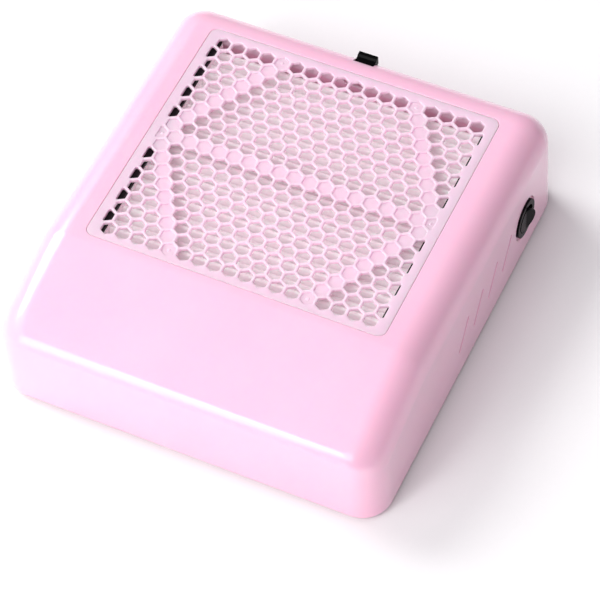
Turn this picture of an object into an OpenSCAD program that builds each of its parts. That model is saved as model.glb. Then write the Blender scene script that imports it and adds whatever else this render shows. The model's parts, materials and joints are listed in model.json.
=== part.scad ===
// Desktop nail dust collector: a hand-rest housing with a honeycomb grille, a pleated
// filter under it and an axial fan below the filter. Millimetres, +Z up, front is -Y.
// The origin is on the supporting surface, under the middle of the housing.

/* [Housing] */
// Width of the housing at its base, left to right
body_w = 236; // [232:1:244]
// Depth of the housing at its base, front to back
body_d = 255; // [252:1:262]
// Height of the moulded cover, without the feet
body_h = 72; // [71:0.5:74]
// Height of the rubber feet below the cover
foot_h = 3; // [2:0.5:5]
// Thickness of the moulded cover wall
wall = 2.5; // [2:0.1:3]
// Radius along the top side edges
side_round = 18.5; // [16:0.5:20]
// Radius along the top back edge
back_round = 20; // [18:0.5:21]
// Plan radius of the four upright corners
corner_round = 17.5; // [16:0.5:19]
// Radius of the edge where the hand rest meets the front face
crease_round = 8; // [6:0.5:9]
// Drop of the hand rest from the flat top to the front edge
rest_drop = 19; // [15:0.5:22]
// Mould draft of the side, front and back walls, in degrees
draft = 0.84; // [0.5:0.1:1]

/* [Grille] */
// Distance between the centres of neighbouring hexagonal cells
cell_pitch = 9.4; // [9:0.1:9.5]
// Width of a cell opening across its flats
cell_open = 7.8; // [7:0.1:8]
// Thickness of the grille plate
grille_t = 2.2; // [2:0.1:2.6]
// Depth of the blind pockets that take the place of open cells
pocket_depth = 0.8; // [0.5:0.1:1.2]
// Distance of the grille centre behind the middle of the housing
grille_y = 23.6; // [22:0.1:25]
// Gap all round the grille panel
panel_gap = 0.3; // [0.3:0.05:0.5]

/* [Filter] */
// Number of pleats in the filter paper
pleats = 28; // [20:1:30]
// Thickness of the filter paper
paper_t = 0.8; // [0.6:0.1:1]

/* [Fan] */
// Side of the square fan frame
fan_w = 120; // [119:0.5:120]
// Number of fan blades
blades = 7; // [5:1:9]
// Pitch of the fan blades, in degrees
blade_pitch = 40; // [30:1:42]

/* [Switch] */
// Outside diameter of the rocker switch bezel
bezel_d = 24; // [23:0.5:25]
// Throw of the rocker, in degrees
rocker_throw = 20; // [16:1:20]

/* [Hidden] */

$fn = 48;
// How far pieces of one moulding run into each other
bite = 0.2;
// How far a cut runs past the face that it opens
over = 1;
// Facets of the small holes and posts
small_fn = 24;
// Radial gap where a ring is pushed into a tube
seat_gap = 0.01;

// Colours
pink = [0.98, 0.80, 0.91];
black = [0.05, 0.05, 0.06];
steel = [0.70, 0.71, 0.73];
brass = [0.80, 0.63, 0.30];
board_green = [0.08, 0.38, 0.22];

// Housing
half_w = body_w / 2;
half_d = body_d / 2;
top_z = foot_h + body_h;
hull_fn = 32;
rest_start_y = grille_y - 85;
rest_run = 64.5;
rest_power = 1.2;
rest_stations = [0, 15, 30, 45];
crease_y = 8.2 - half_d;
crease_z = top_z - rest_drop - 5;

// Grille panel and the well under it
row_pitch = cell_pitch * sqrt(3) / 2;
cell_r = cell_open / sqrt(3);
half_cell_reach = 1;
last_row = 18;
mid_row = last_row / 2;
cells_per_row = 18;
panel_w = 182;
panel_front = grille_y - 81.5;
panel_back = grille_y + 82.5;
panel_round = 5;
panel_under = top_z - grille_t;
skirt_t = 1.4;
skirt_bottom = top_z - 9;
skirt_inset_x = 1.6;
skirt_inset_front = 1.6;
skirt_inset_back = 1.9;
pip_r = 1.1;
pip_h = 0.4;
pip_inset = 1.4;
rib_w = 2.4;
rib_bottom = top_z - 7.2;
tongue_x = 60;
tongue_w = 14;
tongue_reach = 3.5;
tongue_top = top_z - 3.3;
tongue_t = 1.6;
well_t = 2;
shelf_w = 1.4;
shelf_top = panel_under - 0.2;
shelf_t = 1.6;

// Fan deck and fan
deck_t = 2.5;
deck_top = top_z - 31;
deck_bottom = deck_top - deck_t;
deck_half_w = 101;
deck_half_d = 84.5;
deck_screw_x = 96.5;
deck_screw_y = 70;
fan_h = 25;
fan_bottom = deck_bottom - fan_h;
fan_bore_r = 57.5;
bore_fn = 96;
fan_screw_xy = 52.5;
flange_t = 3.5;
hub_disc_r = 21;
hub_disc_t = 2;
tube_r = 5.2;
bearing_r = 4;
bearing_h = 4;
shaft_r = 1.5;
shaft_play = 0.03;
seat_h = 4.2;
seat_top = deck_top + seat_h;

// Filter cartridge
seal_bottom = seat_top + 0.3;
frame_bottom = seal_bottom + 1.5;
cap_in = 82.7;
cap_out = 87.5;
cap_top = top_z - 3.2;
filter_half_d = 78;
side_bar_t = 2.5;
side_bar_h = 8;
pleat_top = top_z - 8.5;
pleat_bottom = frame_bottom + 1;
pleat_half_d = 75.2;

// Release latch, measured from the grille centre
latch_w = 12;
latch_z = top_z - 9;
latch_h = 6;
latch_front = grille_y + 86;
latch_back = grille_y + 101.4;
latch_leg_bottom = top_z - 18;
nose_front = grille_y + 81.3;
nose_w = 10;
nose_z = top_z - 7;
guide_t = 3;
guide_len = 7.2;
retainer_t = 2;
retainer_wall_y = grille_y + 95.5;
spring_z = top_z - 14.2;
spring_r = 2.2;
spring_wire = 0.3;
spring_turns = 5;

// Rocker switch on the right-hand wall
switch_y = grille_y + 55;
switch_z = top_z - 44;
bezel_x = half_w - 1.6;
bezel_t = 2;
switch_r = 10;
switch_bore_r = 8.9;
switch_len = 15;
rocker_r = 7.6;
pivot_x = half_w - 4.9;
pivot_r = 1.2;
pivot_play = 0.05;

// Exhaust slits, as the upper end of each slit and its run to the lower end
slit_w = 1.8;
slit_count = 4;
slit_pitch = 20.6;
slit_first_y = grille_y + 28.4;
slit_mid_z = top_z - 44.6;
slit_len = 20.5;
slit_lean = 38;

// Power inlet in the back wall
inlet_x = 70;
inlet_z = 22;
inlet_w = 24;
inlet_h = 14;
inlet_back = half_d - 0.6;
inlet_len = 20;
pin_gap = 8.6;
inlet_screw_x = 15.5;

// Base plate, its screws, the feet and the power board
base_t = 2.5;
base_top = foot_h + base_t;
base_gap = 0.5;
base_screw_x = 104;
base_screw_ys = [-112, -50, 110];
boss_r = 4.5;
boss_top = 37;
foot_x = 90;
foot_y = 106;
foot_r = 8;
board_w = 116;
board_d = 54;
board_t = 1.6;
board_y = -91;
board_z = 12.5;
board_screw_x = 52;
board_screw_y = 21;
lead_z = 10;
lead_r = 2.2;
mains_x = 76;
switch_lead_x = 84;

function half_w_at(z) = half_w - (z - foot_h) * tan(draft);
function back_at(z) = half_d - (z - foot_h) * tan(draft);
function rest_z(run) = top_z - rest_drop * pow(run / rest_run, rest_power);
function rest_angle(run) = run <= 0 ? 0
    : atan(rest_drop * rest_power * pow(run / rest_run, rest_power - 1) / rest_run);

// ---- shared shapes ----

// A flat rounded rectangle between two corners
module rounded_sheet(low, high, r) {
    size = high - low;
    translate(low + [r, 0]) square([size.x - 2 * r, size.y]);
    translate(low + [0, r]) square([size.x, size.y - 2 * r]);
    for (x = [low.x + r, high.x - r], y = [low.y + r, high.y - r])
        translate([x, y]) circle(r);
}

module rounded_block(low, high, r, z_low, z_high) {
    translate([0, 0, z_low]) linear_extrude(z_high - z_low) rounded_sheet(low, high, r);
}

module block(low, high) {
    translate(low) cube(high - low);
}

// The grille panel's outline, grown or shrunk by a margin on its sides, front and back
module panel_prism(side, front, back, r, z_low, z_high) {
    rounded_block([-panel_w / 2 - side, panel_front - front],
        [panel_w / 2 + side, panel_back + back], r, z_low, z_high);
}

// A pan-head screw that points up, with its head's underside at z = 0
module screw_up(r, len, head_r, head_h) {
    translate([0, 0, -head_h]) cylinder(r = head_r, h = head_h);
    cylinder(r = r, h = len);
}

// A tube, ring or washer
module ring(r_out, r_in, h) {
    difference() {
        cylinder(r = r_out, h = h);
        translate([0, 0, -over]) cylinder(r = r_in, h = h + 2 * over);
    }
}

// A closed tube of rings, one ring of points for each stop along it
module tube_of_rings(rings) {
    sides = len(rings[0]);
    last = len(rings) - 1;
    walls = [for (k = [0 : last - 1]) for (j = [0 : sides - 1])
        let (n = (j + 1) % sides)
        [k * sides + j, k * sides + n, (k + 1) * sides + n, (k + 1) * sides + j]];
    caps = [[for (j = [sides - 1 : -1 : 0]) j], [for (j = [0 : sides - 1]) last * sides + j]];
    polyhedron([for (r = rings) each r], concat(walls, caps));
}

function unit(v) = v / norm(v);
function heading(points, i) = unit(points[min(i + 1, len(points) - 1)] - points[max(i - 1, 0)]);

// An insulated lead swept through a list of points
module lead(points, r) {
    sides = 8;
    // a direction that no stretch of a lead runs along, to start each ring from
    lead_twist = [0.31, 0.12, 0.94];
    tube_of_rings([for (i = [0 : len(points) - 1])
        let (
            ahead = heading(points, i),
            across = unit(cross(ahead, lead_twist)),
            upright = cross(ahead, across)
        )
        [for (j = [0 : sides - 1])
            points[i] + r * (cos(360 * j / sides) * across - sin(360 * j / sides) * upright)]]);
}

// ---- housing ----

// The housing's outer form, or its inner form when inset by the wall
module housing_form(inset) {
    foot_z = foot_h - (inset > 0 ? 1 : 0);
    corner_x = half_w - corner_round;
    corner_y = half_d - corner_round;
    back_z = top_z - back_round;
    hull() {
        for (side = [-1, 1]) {
            for (end = [-1, 1])
                translate([side * corner_x, end * corner_y, foot_z])
                    cylinder(r = corner_round - inset, h = 0.5, $fn = hull_fn);
            translate([side * (half_w_at(back_z) - back_round), back_at(back_z) - back_round, back_z])
                sphere(r = back_round - inset, $fn = hull_fn);
            for (run = rest_stations) {
                lean = rest_angle(run);
                centre_z = rest_z(run) - side_round * cos(lean);
                translate([
                    side * (half_w_at(centre_z) - side_round),
                    rest_start_y - run + side_round * sin(lean),
                    centre_z
                ])
                    sphere(r = side_round - inset, $fn = hull_fn);
            }
            translate([
                side * (half_w_at(crease_z) - corner_round),
                crease_y + corner_round - crease_round,
                crease_z
            ])
                rotate_extrude($fn = hull_fn)
                    translate([corner_round - crease_round, 0]) circle(crease_round - inset, $fn = hull_fn);
        }
    }
}

// One slanted exhaust slit through both side walls
module exhaust_slit(y) {
    translate([0, y, slit_mid_z]) rotate([-slit_lean, 0, 0]) {
        cube([body_w + 20, slit_w, slit_len], center = true);
        for (end = [-1, 1]) translate([0, 0, end * slit_len / 2])
            rotate([0, 90, 0]) cylinder(r = slit_w / 2, h = body_w + 20, center = true, $fn = small_fn);
    }
}

// A screw boss on the side wall, tied to it by a rib
module base_boss(side, y) {
    translate([side * base_screw_x, y, base_top]) cylinder(r = boss_r, h = boss_top - base_top);
    block([side > 0 ? base_screw_x : -half_w + 1.5, y - 1, base_top],
        [side > 0 ? half_w - 1.5 : -base_screw_x, y + 1, boss_top]);
}

module top_cover() {
    latch_clear = 0.4;
    tongue_clear = 1;
    inlet_clear = 0.3;
    recess_rim = 1.6;
    deck_post_r = 4;
    deck_post_h = 16;
    base_pilot_r = 1.4;
    deck_pilot_r = 1.35;
    latch_pilot_r = 0.9;
    color(pink) difference() {
        union() {
            difference() {
                housing_form(0);
                housing_form(wall);
            }
            panel_prism(panel_gap + well_t, panel_gap + well_t, panel_gap + well_t, panel_round + 2,
                deck_top, top_z - 1);
            for (side = [-1, 1]) {
                for (y = base_screw_ys) base_boss(side, y);
                for (end = [-1, 1])
                    translate([side * deck_screw_x, grille_y + end * deck_screw_y, deck_top])
                        cylinder(r = deck_post_r, h = deck_post_h);
                block([side > 0 ? latch_w / 2 + latch_clear : -latch_w / 2 - latch_clear - guide_t,
                        latch_front - 1.5, latch_leg_bottom],
                    [side > 0 ? latch_w / 2 + latch_clear + guide_t : -latch_w / 2 - latch_clear,
                        latch_front - 1.2 + guide_len, top_z - 2.3]);
            }
        }
        // the panel's recess, its shelf and the filter well
        panel_prism(panel_gap, panel_gap, panel_gap, panel_round, shelf_top, top_z + 1);
        panel_prism(panel_gap - shelf_w, panel_gap - shelf_w, panel_gap - shelf_w, panel_round - 1,
            shelf_top - shelf_t - 1, top_z);
        panel_prism(panel_gap, panel_gap, panel_gap, panel_round, deck_top - 1, shelf_top - shelf_t);
        // windows for the panel's two front tongues
        for (side = [-1, 1])
            block([side * tongue_x - tongue_w / 2 - tongue_clear, panel_front - 5, top_z - 8],
                [side * tongue_x + tongue_w / 2 + tongue_clear, panel_front + 3, top_z - wall]);
        // the latch's notch in the back edge and its nose's window
        block([-latch_w / 2 - latch_clear, latch_front - 0.6, latch_z - latch_clear],
            [latch_w / 2 + latch_clear, half_d + 5, latch_z + latch_h + latch_clear]);
        block([-nose_w / 2 - latch_clear, nose_front - 3, nose_z - latch_clear],
            [nose_w / 2 + latch_clear, latch_front, nose_z + 2 + latch_clear]);
        // switch hole with its shallow round recess
        translate([0, switch_y, switch_z]) rotate([0, 90, 0]) {
            cylinder(r = switch_r + 0.1, h = half_w + 5);
            translate([0, 0, bezel_x]) cylinder(r = bezel_d / 2 + recess_rim, h = 10);
        }
        // power inlet cut-out
        block([inlet_x - inlet_w / 2 - inlet_clear, half_d - 8, inlet_z - inlet_h / 2 - inlet_clear],
            [inlet_x + inlet_w / 2 + inlet_clear, half_d + 5, inlet_z + inlet_h / 2 + inlet_clear]);
        for (i = [0 : slit_count - 1]) exhaust_slit(slit_first_y - i * slit_pitch);
        // screw holes
        for (side = [-1, 1]) {
            for (y = base_screw_ys)
                translate([side * base_screw_x, y, base_top - over])
                    cylinder(r = base_pilot_r, h = 16, $fn = small_fn);
            for (end = [-1, 1])
                translate([side * deck_screw_x, grille_y + end * deck_screw_y, deck_top - 1])
                    cylinder(r = deck_pilot_r, h = 13, $fn = small_fn);
            translate([side * (latch_w + guide_t + 2 * latch_clear) / 2, latch_front + 2.5, latch_leg_bottom - 1])
                cylinder(r = latch_pilot_r, h = 8, $fn = small_fn);
        }
    }
}

module base_plate() {
    edge = wall + base_gap;
    post_r = 3.5;
    post_pilot_r = 1.1;
    screw_way_r = 1.7;
    screw_head_way_r = 3.3;
    foot_hole_r = 3;
    vent_pitch = 9;
    vent_w = 3;
    board_vent_len = 34;
    fan_vent_len = 60;
    color(pink) difference() {
        union() {
            rounded_block([edge - half_w, edge - half_d], [half_w - edge, half_d - edge],
                corner_round - edge, foot_h, base_top);
            for (x = [-board_screw_x, board_screw_x], y = [-board_screw_y, board_screw_y])
                translate([x, board_y + y, base_top - bite])
                    cylinder(r = post_r, h = board_z - base_top + bite);
        }
        for (side = [-1, 1]) {
            for (y = base_screw_ys) translate([side * base_screw_x, y, foot_h - over]) {
                cylinder(r = screw_way_r, h = base_t + 2 * over);
                cylinder(r = screw_head_way_r, h = 2 * over);
            }
            for (end = [-1, 1])
                translate([side * foot_x, end * foot_y, foot_h - over])
                    cylinder(r = foot_hole_r, h = base_t + 2 * over);
        }
        for (x = [-board_screw_x, board_screw_x], y = [-board_screw_y, board_screw_y])
            translate([x, board_y + y, base_top + 1]) cylinder(r = post_pilot_r, h = board_z, $fn = small_fn);
        // cooling slots under the power board and below the fan
        for (i = [-4 : 4]) {
            translate([i * vent_pitch, board_y, foot_h + base_t / 2])
                cube([vent_w, board_vent_len, base_t + 2 * over], center = true);
            translate([i * vent_pitch, grille_y, foot_h + base_t / 2])
                cube([vent_w, fan_vent_len, base_t + 2 * over], center = true);
        }
    }
}

module base_screws() {
    shank_r = 1.35;
    shank_len = 13;
    head_r = 3;
    head_h = 0.8;
    cross_len = 3.4;
    cross_w = 0.8;
    color(steel) for (x = [-base_screw_x, base_screw_x], y = base_screw_ys)
        translate([x, y, foot_h + 1]) difference() {
            union() {
                cylinder(r = shank_r, h = shank_len, $fn = small_fn);
                translate([0, 0, -head_h]) cylinder(r = head_r, h = head_h);
            }
            for (turn = [0, 90]) rotate(turn)
                translate([0, 0, -0.7]) cube([cross_len, cross_w, cross_w], center = true);
        }
}

// A rubber foot with a stem that pushes through the base plate
module foot(side, end) {
    stem_r = 2.9;
    barb_r = 3.8;
    barb_h = 1.4;
    tread_h = 1;
    color(black) translate([side * foot_x, end * foot_y, 0]) {
        translate([0, 0, tread_h]) cylinder(r = foot_r, h = foot_h - tread_h);
        cylinder(r = foot_r - 1, h = tread_h);
        translate([0, 0, foot_h - bite]) cylinder(r = stem_r, h = base_t + 2 * bite);
        translate([0, 0, base_top + bite / 2]) cylinder(r = barb_r, h = barb_h);
    }
}

module foot_front_left() { foot(-1, -1); }
module foot_front_right() { foot(1, -1); }
module foot_back_left() { foot(-1, 1); }
module foot_back_right() { foot(1, 1); }

// ---- fan deck and fan ----

module fan_deck() {
    seat_lip_x = 2.5;
    seat_lip_y = 5;
    seat_edge = 0.5;
    fan_hole_r = 2;
    screw_hole_r = 1.7;
    color(pink) difference() {
        union() {
            rounded_block([-deck_half_w, grille_y - deck_half_d], [deck_half_w, grille_y + deck_half_d], 6,
                deck_bottom, deck_top);
            rounded_block([-cap_out - seat_edge, grille_y - filter_half_d - seat_edge],
                [cap_out + seat_edge, grille_y + filter_half_d + seat_edge], 3, deck_top - bite, seat_top);
        }
        rounded_block([-cap_in + seat_lip_x, grille_y - filter_half_d + seat_lip_y],
            [cap_in - seat_lip_x, grille_y + filter_half_d - seat_lip_y], 3, deck_top, seat_top + over);
        translate([0, grille_y, deck_bottom - over]) {
            cylinder(r = fan_bore_r - 0.5, h = deck_t + 2 * over, $fn = bore_fn);
            for (x = [-fan_screw_xy, fan_screw_xy], y = [-fan_screw_xy, fan_screw_xy])
                translate([x, y, 0]) cylinder(r = fan_hole_r, h = deck_t + 2 * over, $fn = small_fn);
            for (x = [-deck_screw_x, deck_screw_x], y = [-deck_screw_y, deck_screw_y])
                translate([x, y, 0]) cylinder(r = screw_hole_r, h = deck_t + 2 * over, $fn = small_fn);
        }
    }
}

module deck_screws() {
    color(steel) for (x = [-deck_screw_x, deck_screw_x], y = [-deck_screw_y, deck_screw_y])
        translate([x, grille_y + y, deck_bottom]) screw_up(1.3, 13, 3, 1.8);
}

// Guard over the fan: round wire rings welded on two crossed flat bars that lie on the deck
module finger_guard() {
    wire_r = 0.8;
    bar_t = 1.2;
    ring_radii = [14, 27, 40, 53];
    color(steel) translate([0, grille_y, deck_top]) {
        for (r = ring_radii) translate([0, 0, bar_t + wire_r / 2])
            rotate_extrude($fn = 72) translate([r, 0]) circle(wire_r, $fn = 16);
        for (turn = [45, 135]) rotate(turn)
            translate([0, 0, bar_t / 2]) cube([2 * (fan_bore_r + 8), 2 * wire_r, bar_t], center = true);
    }
}

module fan_frame() {
    half = fan_w / 2;
    hole_r = 2.1;
    strut_w = 4;
    strut_h = 3;
    color(black) translate([0, grille_y, fan_bottom]) {
        difference() {
            union() {
                rounded_block([-half, -half], [half, half], 5, 0, flange_t);
                rounded_block([-half, -half], [half, half], 5, fan_h - flange_t, fan_h);
                cylinder(r = fan_bore_r + 1.8, h = fan_h, $fn = bore_fn);
            }
            translate([0, 0, -over]) cylinder(r = fan_bore_r, h = fan_h + 2 * over, $fn = bore_fn);
            for (x = [-fan_screw_xy, fan_screw_xy], y = [-fan_screw_xy, fan_screw_xy])
                translate([x, y, -over]) cylinder(r = hole_r, h = fan_h + 2 * over, $fn = small_fn);
        }
        cylinder(r = hub_disc_r, h = hub_disc_t);
        for (turn = [45, 135, 225, 315]) rotate(turn)
            translate([hub_disc_r - 2, -strut_w / 2, 0])
                cube([fan_bore_r - hub_disc_r + 3, strut_w, strut_h]);
    }
}

module fan_screws() {
    color(steel) for (x = [-fan_screw_xy, fan_screw_xy], y = [-fan_screw_xy, fan_screw_xy])
        translate([x, grille_y + y, deck_top]) mirror([0, 0, 1]) screw_up(1.9, fan_h + 0.5, 3.6, 2);
}

module bearing_tube() {
    tube_h = 16.5;
    color(brass) translate([0, grille_y, fan_bottom + hub_disc_t]) ring(tube_r, bearing_r, tube_h);
}

module bearing(z) {
    color(steel) translate([0, grille_y, z]) ring(bearing_r - seat_gap, shaft_r + shaft_play, bearing_h);
}

module lower_bearing() { bearing(fan_bottom + 4.5); }
module upper_bearing() { bearing(fan_bottom + 14.4); }

module motor_board() {
    color(board_green) translate([0, grille_y, fan_bottom + hub_disc_t + 0.3]) {
        ring(17.5, tube_r + 0.2, 1.2);
        translate([12, 0, 1.2 - bite]) cube([4, 5, 1], center = false);
    }
}

module stator_core() {
    core_h = 8;
    pole_w = 4;
    shoe_w = 18;
    color(steel) translate([0, grille_y, fan_bottom + 7.5]) difference() {
        union() {
            cylinder(r = 8, h = core_h);
            for (turn = [0 : 90 : 270]) rotate(turn)
                translate([6, -pole_w / 2, 0]) cube([10, pole_w, core_h]);
            intersection() {
                ring(17.6, 15, core_h);
                for (turn = [0, 90]) rotate(turn) translate([-20, -shoe_w / 2, 0]) cube([40, shoe_w, core_h]);
            }
        }
        translate([0, 0, -over]) cylinder(r = tube_r + 0.05, h = core_h + 2 * over);
    }
}

module stator_coils() {
    coil = [5.8, 9.2, 12];
    coil_start = 8.6;
    color([0.72, 0.38, 0.18]) translate([0, grille_y, fan_bottom + 7.5]) for (turn = [0 : 90 : 270])
        rotate(turn) difference() {
            translate([coil_start, -coil.y / 2, -2]) cube(coil);
            translate([8, -2.1, -0.1]) cube([8, 4.2, 8.2]);
        }
}

module impeller() {
    hub_r = 21.5;
    tip_r = fan_bore_r - 1.2;
    hub_bottom = fan_bottom + 5.5;
    hub_top = fan_bottom + 23;
    chord = 24;
    blade_t = 1.8;
    cup_room_r = 20.25;
    color([0.16, 0.16, 0.18]) translate([0, grille_y, 0]) difference() {
        union() {
            translate([0, 0, hub_bottom]) cylinder(r = hub_r, h = hub_top - hub_bottom);
            intersection() {
                translate([0, 0, hub_bottom]) ring(tip_r, hub_r - 1, fan_h);
                for (i = [0 : blades - 1]) rotate(i * 360 / blades)
                    translate([hub_r - 1, 0, fan_bottom + 14.5]) rotate([blade_pitch, 0, 0])
                        translate([0, -chord / 2, -blade_t / 2]) cube([tip_r, chord, blade_t]);
            }
        }
        translate([0, 0, hub_bottom - over]) cylinder(r = cup_room_r, h = hub_top - hub_bottom - over);
        translate([0, 0, hub_bottom]) cylinder(r = shaft_r, h = hub_top - hub_bottom - 0.8);
    }
}

module rotor_cup() {
    cup_h = 14.5;
    cup_r = 20.2;
    cup_bore_r = 19.3;
    color(steel) translate([0, grille_y, fan_bottom + 6.2]) difference() {
        cylinder(r = cup_r, h = cup_h);
        translate([0, 0, -over]) cylinder(r = cup_bore_r, h = cup_h);
        translate([0, 0, cup_h - 2]) cylinder(r = shaft_r, h = 4);
    }
}

module magnet_ring() {
    color([0.25, 0.24, 0.24]) translate([0, grille_y, fan_bottom + 6.4]) ring(19.25, 18.1, 12.8);
}

module fan_shaft() {
    color(steel) translate([0, grille_y, fan_bottom + 2.7]) cylinder(r = shaft_r, h = 19.4);
}

module shaft_clip() {
    color(steel) translate([0, grille_y, fan_bottom + 3.7]) ring(2.8, shaft_r, 0.5);
}

// ---- grille panel and filter cartridge ----

function cell_x(i) = (i - (cells_per_row - 1) / 2) * cell_pitch;
function row_y(row) = (mid_row - row) * row_pitch;
function from_mid(row) = abs(row - mid_row);
function left_blind(row) = 4 - 0.5 * (mid_row - from_mid(row));
function right_blind(row) = 13 + 0.5 * (mid_row - from_mid(row));
function is_blind(row, i) = row == mid_row || i == left_blind(row) || i == right_blind(row);
function row_cells(row) = row % 2 == 0
    ? [for (i = [0 : cells_per_row - 1]) i]
    : [for (i = [-0.5 : cells_per_row - 0.5]) i];

// The outline of a cell; the cells at the ends of odd rows are cut in half
function cell_outline(row, i) =
    let (
        hexagon = [for (k = [0 : 5]) cell_r * [cos(30 + 60 * k), sin(30 + 60 * k)]],
        cut_y = cell_r - half_cell_reach * tan(30),
        half_right = [[-half_cell_reach, -cut_y], [0, -cell_r], [cell_open / 2, -cell_r / 2],
            [cell_open / 2, cell_r / 2], [0, cell_r], [-half_cell_reach, cut_y]],
        shape = i < 0 ? half_right
            : i > cells_per_row - 1 ? [for (p = half_right) [-p.x, p.y]]
            : hexagon
    )
    [for (p = shape) p + [cell_x(i), row_y(row)]];

all_cells = [for (row = [0 : last_row]) for (i = row_cells(row)) [row, i]];
open_cells = [for (c = all_cells) if (!is_blind(c[0], c[1])) c];
blind_cells = [for (c = all_cells) if (is_blind(c[0], c[1])) c];

// A quarter circle of points round a corner's centre
function corner_arc(centre, r, from) =
    [for (k = [0 : 6]) centre + r * [cos(from + 15 * k), sin(from + 15 * k)]];

// The panel's rounded outline, measured from the grille centre
function panel_outline() =
    let (
        x = panel_w / 2 - panel_round,
        back = panel_back - grille_y - panel_round,
        front = panel_front - grille_y + panel_round
    )
    concat(corner_arc([x, back], panel_round, 0), corner_arc([-x, back], panel_round, 90),
        corner_arc([-x, front], panel_round, 180), corner_arc([x, front], panel_round, 270));

// The grille plate with its open cells, as one outline with holes
module celled_plate() {
    border = panel_outline();
    first = len(border);
    points = concat(border, [for (c = open_cells) each cell_outline(c[0], c[1])]);
    holes = [for (k = [0 : len(open_cells) - 1]) [for (j = [0 : 5]) first + 6 * k + j]];
    linear_extrude(grille_t) polygon(points, concat([[for (k = [0 : first - 1]) k]], holes));
}

// The six small pips at the corners of the large hexagon of blind cells
pip_cells = [[0, 4], [0, 13], [mid_row, -0.5], [mid_row, cells_per_row - 0.5], [last_row, 4], [last_row, 13]];
function pip_shift(i) = i < 0 ? pip_inset : i > cells_per_row - 1 ? -pip_inset : 0;

// Stiffening ribs under the blind cells: the large hexagon's four slanted sides and its middle bar
module panel_ribs() {
    reach = cell_x(cells_per_row - 0.5);
    cap_clear = 2.2;
    depth = panel_under - rib_bottom + bite;
    for (side = [-1, 1], end = [-1, 1]) {
        corner = [side * reach / 2, end * row_y(0)];
        middle = [side * reach / 2 * 1.5, end * row_y(0) / 2, rib_bottom + depth / 2];
        lean = atan2(-end * row_y(0), side * reach / 2);
        translate(middle) rotate(lean)
            cube([norm(corner) - cell_pitch - 2 * cap_clear, rib_w, depth], center = true);
    }
    translate([0, 0, rib_bottom + depth / 2]) cube([2 * (reach - cap_clear), rib_w, depth], center = true);
}

// Skirt round the filter, with the catch slot in its back wall
module panel_skirt() {
    difference() {
        panel_prism(-skirt_inset_x, -skirt_inset_front, -skirt_inset_back, 4, skirt_bottom, panel_under + bite);
        panel_prism(-skirt_inset_x - skirt_t, -skirt_inset_front - skirt_t, -skirt_inset_back - skirt_t, 2.6,
            skirt_bottom - 1, panel_under + 1);
        block([-nose_w / 2 - 1, panel_back - 5, nose_z - 0.6], [nose_w / 2 + 1, panel_back, nose_z + 2.6]);
    }
}

module grille_panel() {
    web_top = top_z - pocket_depth;
    color(pink) {
        translate([0, grille_y, panel_under]) difference() {
            celled_plate();
            for (c = blind_cells) translate([0, 0, grille_t - pocket_depth])
                linear_extrude(pocket_depth + 1) polygon(cell_outline(c[0], c[1]));
        }
        for (c = pip_cells) translate([cell_x(c[1]) + pip_shift(c[1]), grille_y + row_y(c[0]), web_top - bite])
            cylinder(r = pip_r, h = pip_h + bite, $fn = small_fn);
        translate([0, grille_y, 0]) panel_ribs();
        panel_skirt();
        // front tongues that hook under the cover
        for (side = [-1, 1])
            block([side * tongue_x - tongue_w / 2, panel_front - tongue_reach, tongue_top - tongue_t],
                [side * tongue_x + tongue_w / 2, panel_front + skirt_inset_front + 0.5, tongue_top]);
    }
}

module filter_frame() {
    color(black) translate([0, grille_y, 0]) {
        for (side = [-1, 1])
            rounded_block([side > 0 ? cap_in : -cap_out, -filter_half_d],
                [side > 0 ? cap_out : -cap_in, filter_half_d], 1, frame_bottom, cap_top);
        for (end = [-1, 1])
            block([-cap_in - 1, end > 0 ? filter_half_d - side_bar_t : -filter_half_d, frame_bottom],
                [cap_in + 1, end > 0 ? filter_half_d : side_bar_t - filter_half_d, frame_bottom + side_bar_h]);
    }
}

// Pleated paper: a zigzag band that runs from one end cap to the other
module filter_media() {
    step = 2 * pleat_half_d / pleats;
    lean = paper_t / 2 * sqrt(1 + pow((pleat_top - pleat_bottom) / (step / 2), 2));
    fold_count = 2 * pleats;
    middle = [for (k = [0 : fold_count])
        [-pleat_half_d + k * step / 2, k % 2 == 0 ? pleat_bottom : pleat_top - 2 * lean]];
    band = concat(
        [for (k = [0 : fold_count]) middle[k] + [0, 2 * lean]],
        [for (k = [fold_count : -1 : 0]) middle[k]]);
    color([0.95, 0.94, 0.93]) translate([-cap_in + 0.1, grille_y, 0]) rotate([90, 0, 90])
        linear_extrude(2 * cap_in - 0.2) polygon(band);
}

module filter_seal() {
    color([0.2, 0.2, 0.2]) difference() {
        rounded_block([-cap_out, grille_y - filter_half_d], [cap_out, grille_y + filter_half_d], 2,
            seal_bottom, frame_bottom);
        rounded_block([-cap_in, grille_y - filter_half_d + side_bar_t + 1],
            [cap_in, grille_y + filter_half_d - side_bar_t - 1], 1, seal_bottom - 1, frame_bottom + 1);
    }
}

// ---- release latch ----

module release_latch() {
    bevel = 0.8;
    nose_t = 2;
    leg_t = 2.5;
    color(black) {
        translate([-latch_w / 2, 0, 0]) rotate([90, 0, 90]) linear_extrude(latch_w) polygon([
            [latch_front, latch_z], [latch_back, latch_z], [latch_back, latch_z + latch_h - bevel],
            [latch_back - bevel, latch_z + latch_h], [latch_front, latch_z + latch_h]
        ]);
        block([-nose_w / 2, nose_front, nose_z], [nose_w / 2, latch_front + 1, nose_z + nose_t]);
        block([-latch_w / 2, latch_front, latch_leg_bottom + 0.4],
            [latch_w / 2, latch_front + leg_t, latch_z + 1]);
    }
}

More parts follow.
